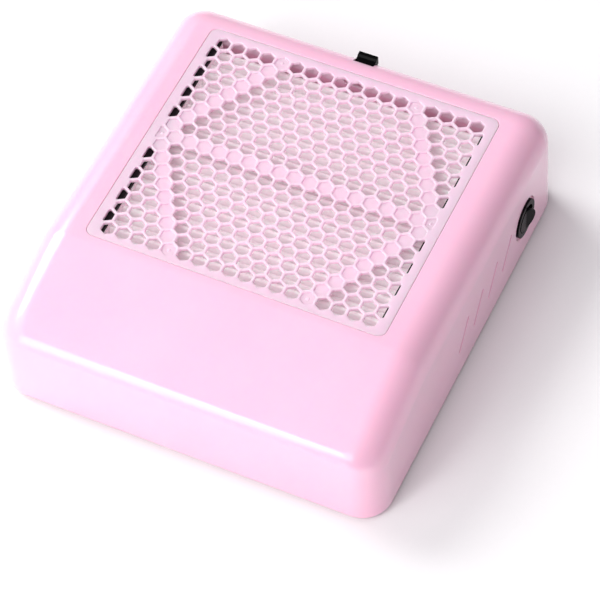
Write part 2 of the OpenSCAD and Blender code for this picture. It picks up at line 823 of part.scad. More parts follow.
// Return spring: a coil swept round the latch's sliding direction
module latch_spring() {
    start_y = latch_front + 2.6;
    coil_len = retainer_wall_y - 0.1 - start_y - 2 * spring_wire;
    steps_per_turn = 16;
    sides = 6;
    last = spring_turns * steps_per_turn;
    rings = [for (k = [0 : last]) [for (j = [0 : sides - 1])
        let (
            turn = 360 * k / steps_per_turn,
            swing = 360 * j / sides,
            reach = spring_r + spring_wire * cos(swing)
        )
        [
            reach * cos(turn),
            start_y + spring_wire + coil_len * k / last + spring_wire * sin(swing),
            spring_z + reach * sin(turn)
        ]]];
    color(steel) tube_of_rings(rings);
}

module latch_retainer() {
    plate_half = latch_w / 2 + 3.4;
    plate_top = latch_leg_bottom;
    wall_t = 1.7;
    color(pink) difference() {
        union() {
            block([-plate_half, latch_front - 1.2, plate_top - retainer_t],
                [plate_half, retainer_wall_y + wall_t, plate_top]);
            block([-5, retainer_wall_y, plate_top - 1], [5, retainer_wall_y + wall_t, spring_z + 2.9]);
        }
        for (side = [-1, 1])
            translate([side * (latch_w + 3.8) / 2, latch_front + 2.5, plate_top - 5])
                cylinder(r = 1, h = 8, $fn = small_fn);
    }
}

module latch_screws() {
    color(steel) for (side = [-1, 1])
        translate([side * (latch_w + 3.8) / 2, latch_front + 2.5, latch_leg_bottom - retainer_t])
            screw_up(0.85, 7, 1.7, 1);
}

// ---- rocker switch ----

module switch_housing() {
    back_t = 1.5;
    color(black) translate([0, switch_y, switch_z]) difference() {
        rotate([0, 90, 0]) {
            translate([0, 0, bezel_x]) ring(bezel_d / 2, switch_bore_r, bezel_t);
            translate([0, 0, bezel_x - switch_len]) ring(switch_r, switch_bore_r, switch_len + bite);
            translate([0, 0, bezel_x - switch_len]) cylinder(r = switch_r, h = back_t);
        }
        translate([pivot_x, 0, 0]) cylinder(r = pivot_r + pivot_play, h = 30, center = true, $fn = 32);
    }
}

module switch_rocker() {
    profile = [
        [7, rocker_r], [5.6, 0], [7, -rocker_r], [1, -rocker_r], [-3.5, -2.5], [-3.5, 2.5], [1, rocker_r]
    ];
    color(black) translate([pivot_x, switch_y, switch_z]) rotate([0, 0, -rocker_throw / 2]) {
        intersection() {
            translate([0, 0, -15]) linear_extrude(30) polygon(profile);
            rotate([0, 90, 0]) cylinder(r = rocker_r, h = 30, center = true);
        }
        cylinder(r = pivot_r, h = 2 * (switch_r - 0.6), center = true, $fn = 32);
    }
}

module switch_terminals() {
    tab = [8, 0.8, 4.8];
    tab_apart = 4;
    color(brass) for (end = [-1, 1])
        translate([bezel_x - switch_len - tab.x, switch_y + end * tab_apart - tab.y / 2, switch_z - tab.z / 2])
            cube(tab);
}

// ---- power inlet ----

module power_inlet() {
    body_front = inlet_back - inlet_len;
    socket_r = 4.2;
    socket_depth = 12;
    screw_hole_r = 1.5;
    color(black) difference() {
        union() {
            rounded_block_y(inlet_w, inlet_h, 3, body_front, inlet_back);
            rounded_block_y(inlet_w + 14, inlet_h + 5, 3, half_d - 8, half_d - 5.4);
        }
        // figure-of-eight socket, open to the back
        for (side = [-1, 1]) translate([inlet_x + side * pin_gap / 2, inlet_back + 1, inlet_z])
            rotate([90, 0, 0]) cylinder(r = socket_r, h = socket_depth + 1);
        block([inlet_x - pin_gap / 2, inlet_back - socket_depth, inlet_z - 4],
            [inlet_x + pin_gap / 2, inlet_back + 1, inlet_z + 4]);
        for (side = [-1, 1]) translate([inlet_x + side * inlet_screw_x, half_d, inlet_z])
            rotate([90, 0, 0]) cylinder(r = screw_hole_r, h = 12, $fn = small_fn);
    }
}

// A rounded block that runs along Y behind the back wall
module rounded_block_y(w, h, r, y_low, y_high) {
    translate([inlet_x, y_high, inlet_z]) rotate([90, 0, 0]) linear_extrude(y_high - y_low)
        rounded_sheet([-w / 2, -h / 2], [w / 2, h / 2], r);
}

module inlet_pins() {
    color(steel) for (side = [-1, 1]) translate([inlet_x + side * pin_gap / 2, inlet_back - 3, inlet_z])
        rotate([90, 0, 0]) cylinder(r = 1.2, h = 9, $fn = small_fn);
}

module inlet_screws() {
    color(steel) for (side = [-1, 1]) translate([inlet_x + side * inlet_screw_x, half_d - 8, inlet_z])
        rotate([-90, 0, 0]) screw_up(1.4, 4.6, 2.6, 1.6);
}

// ---- power board ----

module power_board() {
    color(board_green) difference() {
        translate([-board_w / 2, board_y - board_d / 2, board_z]) cube([board_w, board_d, board_t]);
        for (x = [-board_screw_x, board_screw_x], y = [-board_screw_y, board_screw_y])
            translate([x, board_y + y, board_z - 1]) cylinder(r = 1.4, h = board_t + 2, $fn = small_fn);
    }
}

module on_board(x, y) {
    translate([x, board_y + y, board_z + board_t]) children();
}

module transformer() {
    yoke = [26, 22, 5];
    winding = [18, 16, 12];
    cap_h = 4;
    color([0.85, 0.72, 0.25]) on_board(8, 0) {
        translate([-yoke.x / 2, -yoke.y / 2, 0]) cube(yoke);
        translate([-winding.x / 2, -winding.y / 2, yoke.z - bite]) cube(winding);
        translate([-yoke.x / 2, -yoke.y / 2, yoke.z + winding.z - 2 * bite]) cube([yoke.x, yoke.y, cap_h]);
    }
}

module capacitors() {
    // x, y, radius and height of each can
    cans = [[-18, 12, 6.5, 24], [-18, -10, 6.5, 24], [-36, -14, 4, 14]];
    color([0.12, 0.14, 0.30]) for (spot = cans) on_board(spot[0], spot[1]) cylinder(r = spot[2], h = spot[3]);
}

module heat_sink() {
    sole = [18, 28, 3];
    fin_pitch = 4;
    fin_t = 1.2;
    fin_h = 14;
    color([0.75, 0.76, 0.78]) on_board(36, -4) {
        translate([-sole.x / 2, -sole.y / 2, 0]) cube(sole);
        for (i = [-2 : 2]) translate([i * fin_pitch - fin_t / 2, -sole.y / 2, sole.z - bite])
            cube([fin_t, sole.y, fin_h]);
    }
}

module fan_connector() {
    color([0.92, 0.92, 0.88]) on_board(-38, 16) translate([-5, -4, 0]) cube([10, 8, 7]);
}

module mains_connector() {
    color([0.20, 0.45, 0.25]) on_board(38, 18) translate([-8, -4.5, 0]) cube([16, 9, 10]);
}

module board_screws() {
    color(steel) for (x = [-board_screw_x, board_screw_x], y = [-board_screw_y, board_screw_y])
        translate([x, board_y + y, board_z + board_t]) mirror([0, 0, 1]) screw_up(1.05, 7, 2.4, 1.4);
}

// ---- internal leads, held along their whole run ----

module mains_lead() {
    color([0.1, 0.1, 0.12]) lead([
        [inlet_x, inlet_back - inlet_len, inlet_z], [inlet_x, 98, inlet_z], [mains_x, 90, lead_z],
        [mains_x, -58, lead_z], [60, -66, 20], [50, -73, 20], [46, -73, 20]
    ], lead_r);
}

module switch_lead() {
    color([0.75, 0.1, 0.1]) lead([
        [bezel_x - switch_len - 8, switch_y, switch_z], [88, switch_y, switch_z], [switch_lead_x, 68, lead_z],
        [switch_lead_x, -64, lead_z], [62, -74, 24], [46, -73.5, 30], [39, -73, 29], [38, -73, 24.1]
    ], lead_r);
}

module fan_lead() {
    color([0.1, 0.1, 0.12]) lead([
        [-40, grille_y - fan_w / 2, fan_bottom + 2], [-40, -40, fan_bottom + 2], [-40, -46, 12],
        [-38, -56, 12], [-38, -62, 18], [-38, -71, 18]
    ], 1.4);
}

module lead_clips() {
    clip_len = 8;
    side_t = 1.4;
    crown_t = 1.6;
    color([0.9, 0.9, 0.9]) for (y = [-20, 30]) difference() {
        block([mains_x - lead_r - side_t, y, base_top],
            [switch_lead_x + lead_r + side_t, y + clip_len, lead_z + lead_r + crown_t]);
        for (x = [mains_x, switch_lead_x]) translate([x, y - over, lead_z]) rotate([-90, 0, 0])
            cylinder(r = lead_r + 0.05, h = clip_len + 2 * over, $fn = small_fn);
    }
}

top_cover();
base_plate();
base_screws();
foot_front_left();
foot_front_right();
foot_back_left();
foot_back_right();
fan_deck();
deck_screws();
finger_guard();
fan_frame();
fan_screws();
bearing_tube();
lower_bearing();
upper_bearing();
motor_board();
stator_core();
stator_coils();
impeller();
rotor_cup();
magnet_ring();
fan_shaft();
shaft_clip();
grille_panel();
filter_frame();
filter_media();
filter_seal();
release_latch();
latch_spring();
latch_retainer();
latch_screws();
switch_housing();
switch_rocker();
switch_terminals();
power_inlet();
inlet_pins();
inlet_screws();
power_board();
transformer();
capacitors();
heat_sink();
fan_connector();
mains_connector();
board_screws();
mains_lead();
switch_lead();
fan_lead();
lead_clips();
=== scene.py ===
# %% [markdown]
# # A desktop nail dust collector, piece by piece
# The machine is a pink moulded housing that a customer rests a hand on. A fan inside draws
# air down through a honeycomb grille and a pleated paper filter, and lets it out through
# slanted slits in both sides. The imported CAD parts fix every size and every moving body, so
# this lesson only adds looks: rounder shells, a crisp grille, paper, plastic, metal and light.
# Loading the frame first means that each piece goes where the CAD says, with no fitting.

# %% Load the frame
import json
import math

import bmesh
import bpy
from mathutils import Matrix, Vector
from mathutils.geometry import delaunay_2d_cdt


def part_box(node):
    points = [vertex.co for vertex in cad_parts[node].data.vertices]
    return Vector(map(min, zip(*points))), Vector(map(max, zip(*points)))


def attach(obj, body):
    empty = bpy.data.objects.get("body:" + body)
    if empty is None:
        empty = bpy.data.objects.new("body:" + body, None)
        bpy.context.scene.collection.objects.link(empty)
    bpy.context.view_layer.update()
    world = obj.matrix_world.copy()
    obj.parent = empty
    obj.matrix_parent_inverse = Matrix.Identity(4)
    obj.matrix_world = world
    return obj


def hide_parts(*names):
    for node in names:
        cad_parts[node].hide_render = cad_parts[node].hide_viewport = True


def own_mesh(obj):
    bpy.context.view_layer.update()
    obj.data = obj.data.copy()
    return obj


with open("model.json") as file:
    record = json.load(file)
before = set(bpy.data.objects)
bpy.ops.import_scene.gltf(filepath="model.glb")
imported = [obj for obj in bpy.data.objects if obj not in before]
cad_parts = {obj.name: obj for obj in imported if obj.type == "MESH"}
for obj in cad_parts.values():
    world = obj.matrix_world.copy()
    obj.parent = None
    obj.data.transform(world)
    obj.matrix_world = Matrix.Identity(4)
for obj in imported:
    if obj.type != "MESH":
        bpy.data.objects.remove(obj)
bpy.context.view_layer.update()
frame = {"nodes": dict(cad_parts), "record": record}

MM = 0.001

# %% [markdown]
# ## The camera
# A long lens from far away keeps the housing's sides nearly parallel, as a catalogue picture
# does. The camera could be aimed by a constraint, but building its axes from an azimuth, an
# elevation and a small roll says exactly how it is held and leaves nothing to update later.

# %% Place the camera
CAMERA_AIM = Vector((12.9, -4.5, 0.0)) * MM
CAMERA_DISTANCE = 1.6664
CAMERA_AZIMUTH = math.radians(28.61)
CAMERA_ELEVATION = math.radians(53.81)
CAMERA_ROLL = math.radians(-4.36)
CAMERA_LENS = 174.0


def towards(azimuth, elevation):
    """A unit vector that points from the object, azimuth to the right of its front."""
    flat = math.cos(elevation)
    return Vector((math.sin(azimuth) * flat, -math.cos(azimuth) * flat, math.sin(elevation)))


def standing_at(aim, distance, back, roll=0.0):
    """The world matrix of a camera or lamp that looks along -back at aim."""
    level = Vector((0, 0, 1)).cross(back).normalized()
    rise = back.cross(level)
    right = level * math.cos(roll) + rise * math.sin(roll)
    up = rise * math.cos(roll) - level * math.sin(roll)
    matrix = Matrix((right, up, back)).transposed().to_4x4()
    matrix.translation = aim + back * distance
    return matrix


camera = bpy.data.objects.new("catalogue_camera", bpy.data.cameras.new("catalogue_camera"))
bpy.context.scene.collection.objects.link(camera)
camera.data.lens = CAMERA_LENS
camera.data.sensor_width = 36.0
camera.data.clip_end = 20.0
camera.matrix_world = standing_at(
    CAMERA_AIM, CAMERA_DISTANCE, towards(CAMERA_AZIMUTH, CAMERA_ELEVATION), CAMERA_ROLL)
bpy.context.scene.camera = camera
print("camera at", [round(c, 3) for c in camera.matrix_world.translation])

# %% [markdown]
# ## Shader sums as Python sums
# A finish is a small network of nodes. Wiring nodes by hand hides the idea, so this class
# wraps one socket: plain arithmetic on it adds Math nodes, `blend` adds a Mix node for two
# colours, and `node` adds any other kind, with its settings first and its sockets after.

# %% The wrapper for a socket


class Wire:
    """A socket of a node tree that can be used in sums."""

    def __init__(self, tree, socket=None):
        self.tree, self.socket = tree, socket

    def plug(self, target, value):
        if isinstance(value, Wire):
            self.tree.links.new(value.socket, target)
        else:
            target.default_value = value

    def node(self, kind, settings=None, sockets=None, output=0):
        made = self.tree.nodes.new("ShaderNode" + kind)
        for name, value in (settings or {}).items():
            setattr(made, name, value)
        for name, value in (sockets or {}).items():
            self.plug(made.inputs[name], value)
        return Wire(self.tree, made.outputs[output])

    def sum_with(self, operation, first, second):
        return self.node("Math", {"operation": operation}, {0: first, 1: second})

    def __add__(self, other):
        return self.sum_with("ADD", self, other)

    __radd__ = __add__

    def __mul__(self, other):
        return self.sum_with("MULTIPLY", self, other)

    __rmul__ = __mul__

    def __sub__(self, other):
        return self.sum_with("SUBTRACT", self, other)

    def __rsub__(self, other):
        return self.sum_with("SUBTRACT", other, self)

    def between(self, low, high):
        """0 below low, 1 above high, and a smooth step from one to the other."""
        return self.node("MapRange", {"interpolation_type": "SMOOTHSTEP"},
                         {"Value": self, "From Min": low, "From Max": high})

    def blend(self, low, high):
        """The colour low where this is 0, and high where it is 1."""
        return self.node("Mix", {"data_type": "RGBA"}, {0: self, 6: low, 7: high}, output=2)


# %% [markdown]
# ## How a finish is put together
# Every finish here starts from the place of a point on the piece, so that no unwrapping is
# needed. A fine noise gives the grain that a mould or a tool leaves, a slow one gives the
# uneven gloss that hands and dust leave, and both stay small: the finish reads as plastic or
# metal first, and as a pattern only close up.

# %% Make a finish


def rgba(red, green, blue):
    return (red, green, blue, 1.0)


def finish_of(name):
    """A new material, its shader node, and a Wire that starts its sums."""
    material = bpy.data.materials.new(name)
    material.use_nodes = True
    shader = material.node_tree.nodes["Principled BSDF"]
    start = Wire(material.node_tree)
    place = start.node("TexCoord", output="Object")
    return material, shader, start, place


def noise(start, place, size_mm, detail=2.0, stretch=None):
    """Noise whose features are about size_mm across, stretched along an axis if asked."""
    if stretch:
        place = start.node("Mapping", {}, {"Vector": place, "Scale": stretch})
    return start.node("TexNoise", {},
                      {"Vector": place, "Scale": 1 / (size_mm * MM), "Detail": detail})


def set_colour(start, shader, share, low, high):
    """The colour low where share is 0, and high where it is 1."""
    start.plug(shader.inputs["Base Color"], share.blend(rgba(*low), rgba(*high)))


def set_relief(start, shader, height, depth_mm):
    bump = start.node("Bump", {}, {"Height": height, "Distance": depth_mm * MM, "Strength": 1.0})
    start.plug(shader.inputs["Normal"], bump)


DRIFT_MM, HANDLED_MM, STAIN_MM = 55, 12, 9
COAT_ROUGHNESS = 0.12


def moulded(name, colour, shade, rough, grain_mm, grain_depth, coat=0.0, uneven=0.06):
    """Moulded plastic: colour that drifts a little towards shade, and a fine even grain."""
    material, shader, start, place = finish_of(name)
    drift = noise(start, place, DRIFT_MM, 3.0).between(0.35, 0.7)
    handled = noise(start, place, HANDLED_MM, 4.0)
    grain = noise(start, place, grain_mm, 2.0)
    set_colour(start, shader, drift, colour, shade)
    start.plug(shader.inputs["Roughness"], handled * uneven + (rough - uneven / 2))
    set_relief(start, shader, grain, grain_depth)
    shader.inputs["Coat Weight"].default_value = coat
    shader.inputs["Coat Roughness"].default_value = COAT_ROUGHNESS
    return material


def metal(name, colour, dull, rough, stretch=(1.0, 1.0, 1.0), line_mm=0.6):
    """Turned, drawn or rolled metal: lines that run across the stretched axis."""
    material, shader, start, place = finish_of(name)
    lines = noise(start, place, line_mm, 3.0, stretch)
    stain = noise(start, place, STAIN_MM, 4.0).between(0.4, 0.75)
    set_colour(start, shader, stain, colour, dull)
    start.plug(shader.inputs["Roughness"], lines * 0.16 + (rough - 0.08))
    shader.inputs["Metallic"].default_value = 1.0
    set_relief(start, shader, lines, 0.01)
    return material


# %% [markdown]
# ## The housing's pink plastic
# The real cover is glossy moulded plastic in a pale cool pink. A texture of paint would be
# wrong, because the colour goes right through: what changes is the gloss, a faint orange-peel
# from the mould, and a slightly deeper tone where the wall is thick. The webs of the grille
# are so thin that light crosses them, so the grille has its own version that scatters more.

# %% Finishes: pink plastics


def glowing_pink(name, colour, shade, share, reach, reach_mm):
    """Pink plastic that lets a share of light in, to scatter over reach times reach_mm."""
    material = moulded(name, colour, shade, 0.3, grain_mm=1.4, grain_depth=0.005,
                       coat=0.7, uneven=0.08)
    shader = material.node_tree.nodes["Principled BSDF"]
    shader.inputs["Subsurface Weight"].default_value = share
    shader.inputs["Subsurface Radius"].default_value = reach
    shader.inputs["Subsurface Scale"].default_value = reach_mm * MM
    return material


pink = glowing_pink("pink_plastic", (0.97, 0.535, 0.70), (0.96, 0.515, 0.685),
                    0.35, (1.0, 0.45, 0.7), 3.0)
thin_pink = glowing_pink("thin_pink_plastic", (0.97, 0.60, 0.745), (0.96, 0.58, 0.73),
                         0.9, (1.0, 0.7, 0.85), 6.0)
print("finishes", pink.name, "and", thin_pink.name)

# %% [markdown]
# ## Black and dark plastics
# The latch and the switch are deep black, the filter's strips are satin, and the fan is the
# matt grey-black of glass-filled plastic. One recipe serves them all, with its own grain.
# Glossy black mirrors a bright room and turns grey, so the latch and the switch get a low
# refractive index in place of a darker colour, which could not go below black.

# %% Finishes: black plastics
latch_black = moulded("latch_black", (0.0012, 0.0012, 0.0014), (0.0025, 0.0025, 0.003), 0.26,
                      grain_mm=0.7, grain_depth=0.004)
switch_black = moulded("switch_black", (0.003, 0.003, 0.0034), (0.006, 0.006, 0.0065), 0.24,
                       grain_mm=0.5, grain_depth=0.005)
for dark, index in [(latch_black, 1.13), (switch_black, 1.12)]:
    dark.node_tree.nodes["Principled BSDF"].inputs["IOR"].default_value = index
frame_black = moulded("filter_frame_black", (0.006, 0.005, 0.006), (0.01, 0.009, 0.01), 0.5,
                      grain_mm=0.6, grain_depth=0.02)
frame_black.node_tree.nodes["Principled BSDF"].inputs["Specular IOR Level"].default_value = 0.15
fan_black = moulded("fan_plastic", (0.03, 0.03, 0.034), (0.05, 0.05, 0.055), 0.5,
                    grain_mm=0.5, grain_depth=0.03)
sleeve_blue = moulded("capacitor_sleeve", (0.03, 0.04, 0.12), (0.05, 0.06, 0.16), 0.3,
                      grain_mm=0.8, grain_depth=0.008)
nylon_white = moulded("white_nylon", (0.72, 0.71, 0.66), (0.66, 0.65, 0.58), 0.4,
                      grain_mm=0.9, grain_depth=0.012)
nylon_green = moulded("green_nylon", (0.05, 0.22, 0.07), (0.08, 0.27, 0.1), 0.4,
                      grain_mm=0.9, grain_depth=0.012)
lead_black = moulded("lead_black", (0.02, 0.02, 0.022), (0.04, 0.04, 0.042), 0.45,
                     grain_mm=1.1, grain_depth=0.02)
lead_red = moulded("lead_red", (0.42, 0.02, 0.02), (0.33, 0.015, 0.015), 0.45,
                   grain_mm=1.1, grain_depth=0.02)

# %% [markdown]
# ## Metals
# Screws are plated steel, the guard is drawn wire, the shaft is turned, and the contacts are
# brass. A stretched noise stands for the marks of the tool that made each of them.

# %% Finishes: metals
steel = metal("plated_steel", (0.62, 0.62, 0.64), (0.48, 0.48, 0.5), 0.3)
wire = metal("drawn_wire", (0.66, 0.66, 0.68), (0.5, 0.5, 0.52), 0.26, (1.0, 1.0, 0.2))
turned = metal("turned_steel", (0.6, 0.6, 0.62), (0.5, 0.5, 0.53), 0.24, (0.3, 0.3, 3.0))
brass = metal("brass", (0.78, 0.56, 0.24), (0.55, 0.38, 0.16), 0.28)
core = metal("laminated_core", (0.25, 0.26, 0.3), (0.18, 0.17, 0.18), 0.45, (0.2, 0.2, 5.0), 0.8)
copper = metal("copper_winding", (0.78, 0.32, 0.13), (0.55, 0.2, 0.08), 0.3, (0.3, 0.3, 4.0), 0.4)
fin_metal = metal("heat_sink_metal", (0.72, 0.73, 0.76), (0.6, 0.61, 0.64), 0.34, (0.2, 1.0, 1.0))

# %% [markdown]
# ## Rubber, circuit board and tape
# Rubber feet are dull with a coarse grain. A circuit board is green lacquer over copper
# tracks, which a stepped cell pattern suggests. Tape on a transformer shows its wound layers.

# %% Finishes: rubber, board, tape
rubber = moulded("foot_rubber", (0.03, 0.028, 0.028), (0.055, 0.05, 0.05), 0.75,
                 grain_mm=0.8, grain_depth=0.06, uneven=0.15)


def board_lacquer():
    material, shader, start, place = finish_of("board_lacquer")
    cells = start.node("TexVoronoi", {"distance": "CHEBYCHEV"}, {"Vector": place, "Scale": 160.0})
    track = 1 - cells.between(0.36, 0.44)
    set_colour(start, shader, track, (0.008, 0.075, 0.03), (0.02, 0.16, 0.06))
    start.plug(shader.inputs["Roughness"], noise(start, place, 6) * 0.1 + 0.25)
    set_relief(start, shader, track, 0.03)
    return material


def wound_tape():
    material, shader, start, place = finish_of("transformer_tape")
    turns = start.node("TexWave", {"bands_direction": "Z"},
                       {"Vector": place, "Scale": 110.0, "Distortion": 1.5})
    set_colour(start, shader, turns, (0.52, 0.33, 0.03), (0.68, 0.47, 0.08))
    start.plug(shader.inputs["Roughness"], turns * 0.15 + 0.35)
    set_relief(start, shader, turns, 0.05)
    return material


lacquer, tape = board_lacquer(), wound_tape()

# %% [markdown]
# ## Filter paper and foam
# Filter paper is a soft non-woven: short fibres lie in all directions, some thicker than
# others, so the sheet is slightly cloudy. Its colour is painted faintly pink for the pink light
# that comes through the grille. It is so thin that the folds pass light on to each other.
# Tracing that needs far more samples than a painted glow of the paper's own, which looks the same.
# Foam is a mass of small open cells.

# %% Finishes: paper and foam


def fibrous_paper():
    material, shader, start, place = finish_of("filter_paper")
    fibres = noise(start, place, 0.9, 5.0, (0.25, 1.0, 1.0))
    cross_fibres = noise(start, place, 0.7, 5.0, (1.0, 0.3, 0.3))
    cloud = noise(start, place, 14, 3.0)
    tone = (fibres * 0.5 + cloud * 0.5).between(0.35, 0.68)
    # painted light: both colours are tinted pink for the pink light that comes through the grille;
    # fibres and cloud vary the tone at random
    set_colour(start, shader, tone, (0.975, 0.84, 0.895), (0.99, 0.91, 0.94))
    start.plug(shader.inputs["Roughness"], fibres * 0.1 + 0.85)
    set_relief(start, shader, fibres + cross_fibres, 0.12)
    shader.inputs["Subsurface Weight"].default_value = 0.9
    shader.inputs["Subsurface Radius"].default_value = (1.0, 0.75, 0.85)
    shader.inputs["Subsurface Scale"].default_value = 2.5 * MM
    # painted light: a weak glow of the paper stands in for the light that the thin folds pass on to
    # each other
    shader.inputs["Emission Color"].default_value = rgba(1.0, 0.82, 0.88)
    shader.inputs["Emission Strength"].default_value = 0.07
    return material


def open_foam():
    material, shader, start, place = finish_of("seal_foam")
    pores = start.node("TexVoronoi", {}, {"Vector": place, "Scale": 1400.0})
    # painted shade: the colour darkens towards the hollow middle of each pore, where the bump sinks
    set_colour(start, shader, pores.between(0.0, 0.6), (0.012, 0.012, 0.013), (0.07, 0.07, 0.075))
    start.plug(shader.inputs["Roughness"], pores * 0.1 + 0.85)
    set_relief(start, shader, pores, 0.25)
    return material


paper, foam = fibrous_paper(), open_foam()
print("finishes made:", len(bpy.data.materials))

# %% [markdown]
# ## Dress the CAD parts
# Most inner parts already have the right shape from CAD, so they keep it and only change
# finish. A table from finish to parts keeps that in one place, and the loop below reads it.

# %% Give each CAD part its finish
DRESSED = [
    (pink, "top_cover base_plate fan_deck latch_retainer grille_panel lead_clips"),
    (steel, "base_screws deck_screws fan_screws latch_screws inlet_screws board_screws"),
    (steel, "latch_spring"),
    (rubber, "foot_front_left foot_front_right foot_back_left foot_back_right"),
    (wire, "finger_guard"),
    (fan_black, "fan_frame impeller"),
    (turned, "lower_bearing upper_bearing fan_shaft shaft_clip rotor_cup"),
    (brass, "bearing_tube switch_terminals inlet_pins"),
    (lacquer, "motor_board power_board"),
    (core, "stator_core magnet_ring"),
    (copper, "stator_coils"),
    (frame_black, "filter_frame"),
    (paper, "filter_media"),
    (foam, "filter_seal"),
    (latch_black, "release_latch"),
    (switch_black, "switch_housing switch_rocker power_inlet"),
    (tape, "transformer"),
    (sleeve_blue, "capacitors"),
    (fin_metal, "heat_sink"),
    (nylon_white, "fan_connector"),
    (nylon_green, "mains_connector"),
    (lead_black, "mains_lead fan_lead"),
    (lead_red, "switch_lead"),
]
dressed = 0
for finish, names in DRESSED:
    for name in names.split():
        part = frame["nodes"][name]
        part.data.materials.clear()
        part.data.materials.append(finish)
        for face in part.data.polygons:
            face.material_index = 0
        dressed += 1
print("CAD parts dressed:", dressed, "of", len(frame["nodes"]))

# %% [markdown]
# ## Tools for shaping
# Three small tools make nearly every piece. `loft` joins rings of points into a skin, which
# suits walls, rounded edges and turned parts alike. `carved` adds and cuts solids, as a
# toolmaker adds bosses and cuts windows. `piece` turns the result into an object that rides on
# its body, with smooth shading that breaks only at real edges.

# %% Rings, lofts and solids


def box_mm(node):
    """The two corners of a CAD part's box, in mm."""
    return [[c / MM for c in corner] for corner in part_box(node)]


def loft(shape, rings, last_cap=True):
    """Adds a skin through closed rings with the same number of points; points in mm."""
    rows = [[shape.verts.new(point) for point in ring] for ring in rings]
    count = len(rows[0])
    for low, high in zip(rows, rows[1:]):
        for i in range(count):
            j = (i + 1) % count
            shape.faces.new((low[i], low[j], high[j], high[i]))
    shape.faces.new(reversed(rows[0]))
    if last_cap:
        shape.faces.new(rows[-1])
    return rows


def solid(*ring_lists):
    """A new shape with one closed loft for each list of rings."""
    shape = bmesh.new()
    for rings in ring_lists:
        loft(shape, rings)
    bmesh.ops.recalc_face_normals(shape, faces=shape.faces)
    return shape


def as_object(shape, name):
    mesh = bpy.data.meshes.new(name)
    shape.to_mesh(mesh)
    shape.free()
    made = bpy.data.objects.new(name, mesh)
    bpy.context.scene.collection.objects.link(made)
    return made


def carved(shape, *steps):
    """The shape after each (operation, tool shape) in turn, as a new shape."""
    work = as_object(shape, "work")
    tools = []
    for operation, tool in steps:
        tools.append(as_object(tool, "tool"))
        cut = work.modifiers.new(operation, "BOOLEAN")
        cut.operation, cut.solver, cut.object = operation, "MANIFOLD", tools[-1]
    bpy.context.view_layer.update()
    seen = work.evaluated_get(bpy.context.evaluated_depsgraph_get())
    result = bmesh.new()
    result.from_mesh(seen.to_mesh())
    seen.to_mesh_clear()
    for used in [work, *tools]:
        mesh = used.data
        bpy.data.objects.remove(used)
        bpy.data.meshes.remove(mesh)
    return result


def piece(name, shape, body, finish, nodes, edge_angle=32.0):
    """The finished object: in metres, smooth, riding on its body, standing for its CAD nodes."""
    bmesh.ops.recalc_face_normals(shape, faces=shape.faces)
    bmesh.ops.scale(shape, vec=(MM, MM, MM), verts=shape.verts)
    made = as_object(shape, name)
    made.data.materials.append(finish)
    made.data.shade_smooth()
    made.data.set_sharp_from_angle(angle=math.radians(edge_angle))
    even = made.modifiers.new("even_shading", "WEIGHTED_NORMAL")
    even.keep_sharp = True
    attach(made, body)
    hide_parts(*nodes)
    print(name, len(made.data.polygons), "faces, size mm",
          [round(side / MM, 1) for side in made.dimensions])
    return made


# %% [markdown]
# ## The sizes of the housing
# These are the moulded cover's own sizes in millimetres. The wall leans in by under a degree
# so that the mould can open, and the hand rest falls away from the flat top along a gentle
# curve, which a power of the distance gives with one line.

# %% Housing sizes
(_, _, TABLE_GAP), (HALF_W, HALF_D, TOP) = box_mm("top_cover")
WALL = 2.5
DRAFT = math.tan(math.radians(0.84))
CORNER_R = 17.5
SIDE_R, BACK_R = 18.5, 20.0
FRONT_SETBACK, FRONT_DROP = 5.4, 5.7
REST_START, REST_RUN, REST_DROP, REST_POWER = -61.4, 64.5, 19.0, 1.2
FRONT_LEAN = 0.004
BOTTOM_EASE, BOTTOM_STEPS = 0.7, 3


def half_width(z):
    return HALF_W - (z - TABLE_GAP) * DRAFT


def back_edge(z):
    return HALF_D - (z - TABLE_GAP) * DRAFT


def front_edge(z):
    return -HALF_D + (z - TABLE_GAP) * FRONT_LEAN


def rest_height(y):
    run = max(0.0, REST_START - y) / REST_RUN
    return TOP - REST_DROP * run ** REST_POWER


def rest_slope(y):
    run = max(0.0, REST_START - y) / REST_RUN
    return REST_DROP * REST_POWER / REST_RUN * run ** (REST_POWER - 1) if run > 0 else 0.0


print("housing", HALF_W * 2, "x", HALF_D * 2, "x", TOP, "mm; front edge of the rest at",
      round(rest_height(-HALF_D + FRONT_SETBACK), 1))

# %% [markdown]
# ## The cover as a loft
# The cover could be a subdivided box, but its corners have different radii in plan and in
# height, and it has to keep its measured size. So it is a loft of rings, and each ring has the
# same stations: along the front, round the front corner, along the side, round the back
# corner and along the back. The wall rises to the start of its rounding, a cubic curve turns
# it over, and the top is filled row by row so that the hand rest stays one smooth sheet.

# %% Stations round the outline
FRONT_STEPS, CORNER_STEPS, BACK_STEPS, TURN_STEPS = 6, 12, 6, 10
REST_ROWS, FLAT_ROWS = 20, 8
KAPPA = 0.5523
INNER_FRONT_R = (5.0, 14.0)
INNER_BACK_R = 3.0
INNER_SIDE_FROM = -HALF_D + FRONT_SETBACK + INNER_FRONT_R[1]
INNER_SIDE_TO = HALF_D - BACK_R - 1.0 - INNER_BACK_R


def side_share(y):
    return (y - INNER_SIDE_FROM) / (INNER_SIDE_TO - INNER_SIDE_FROM)


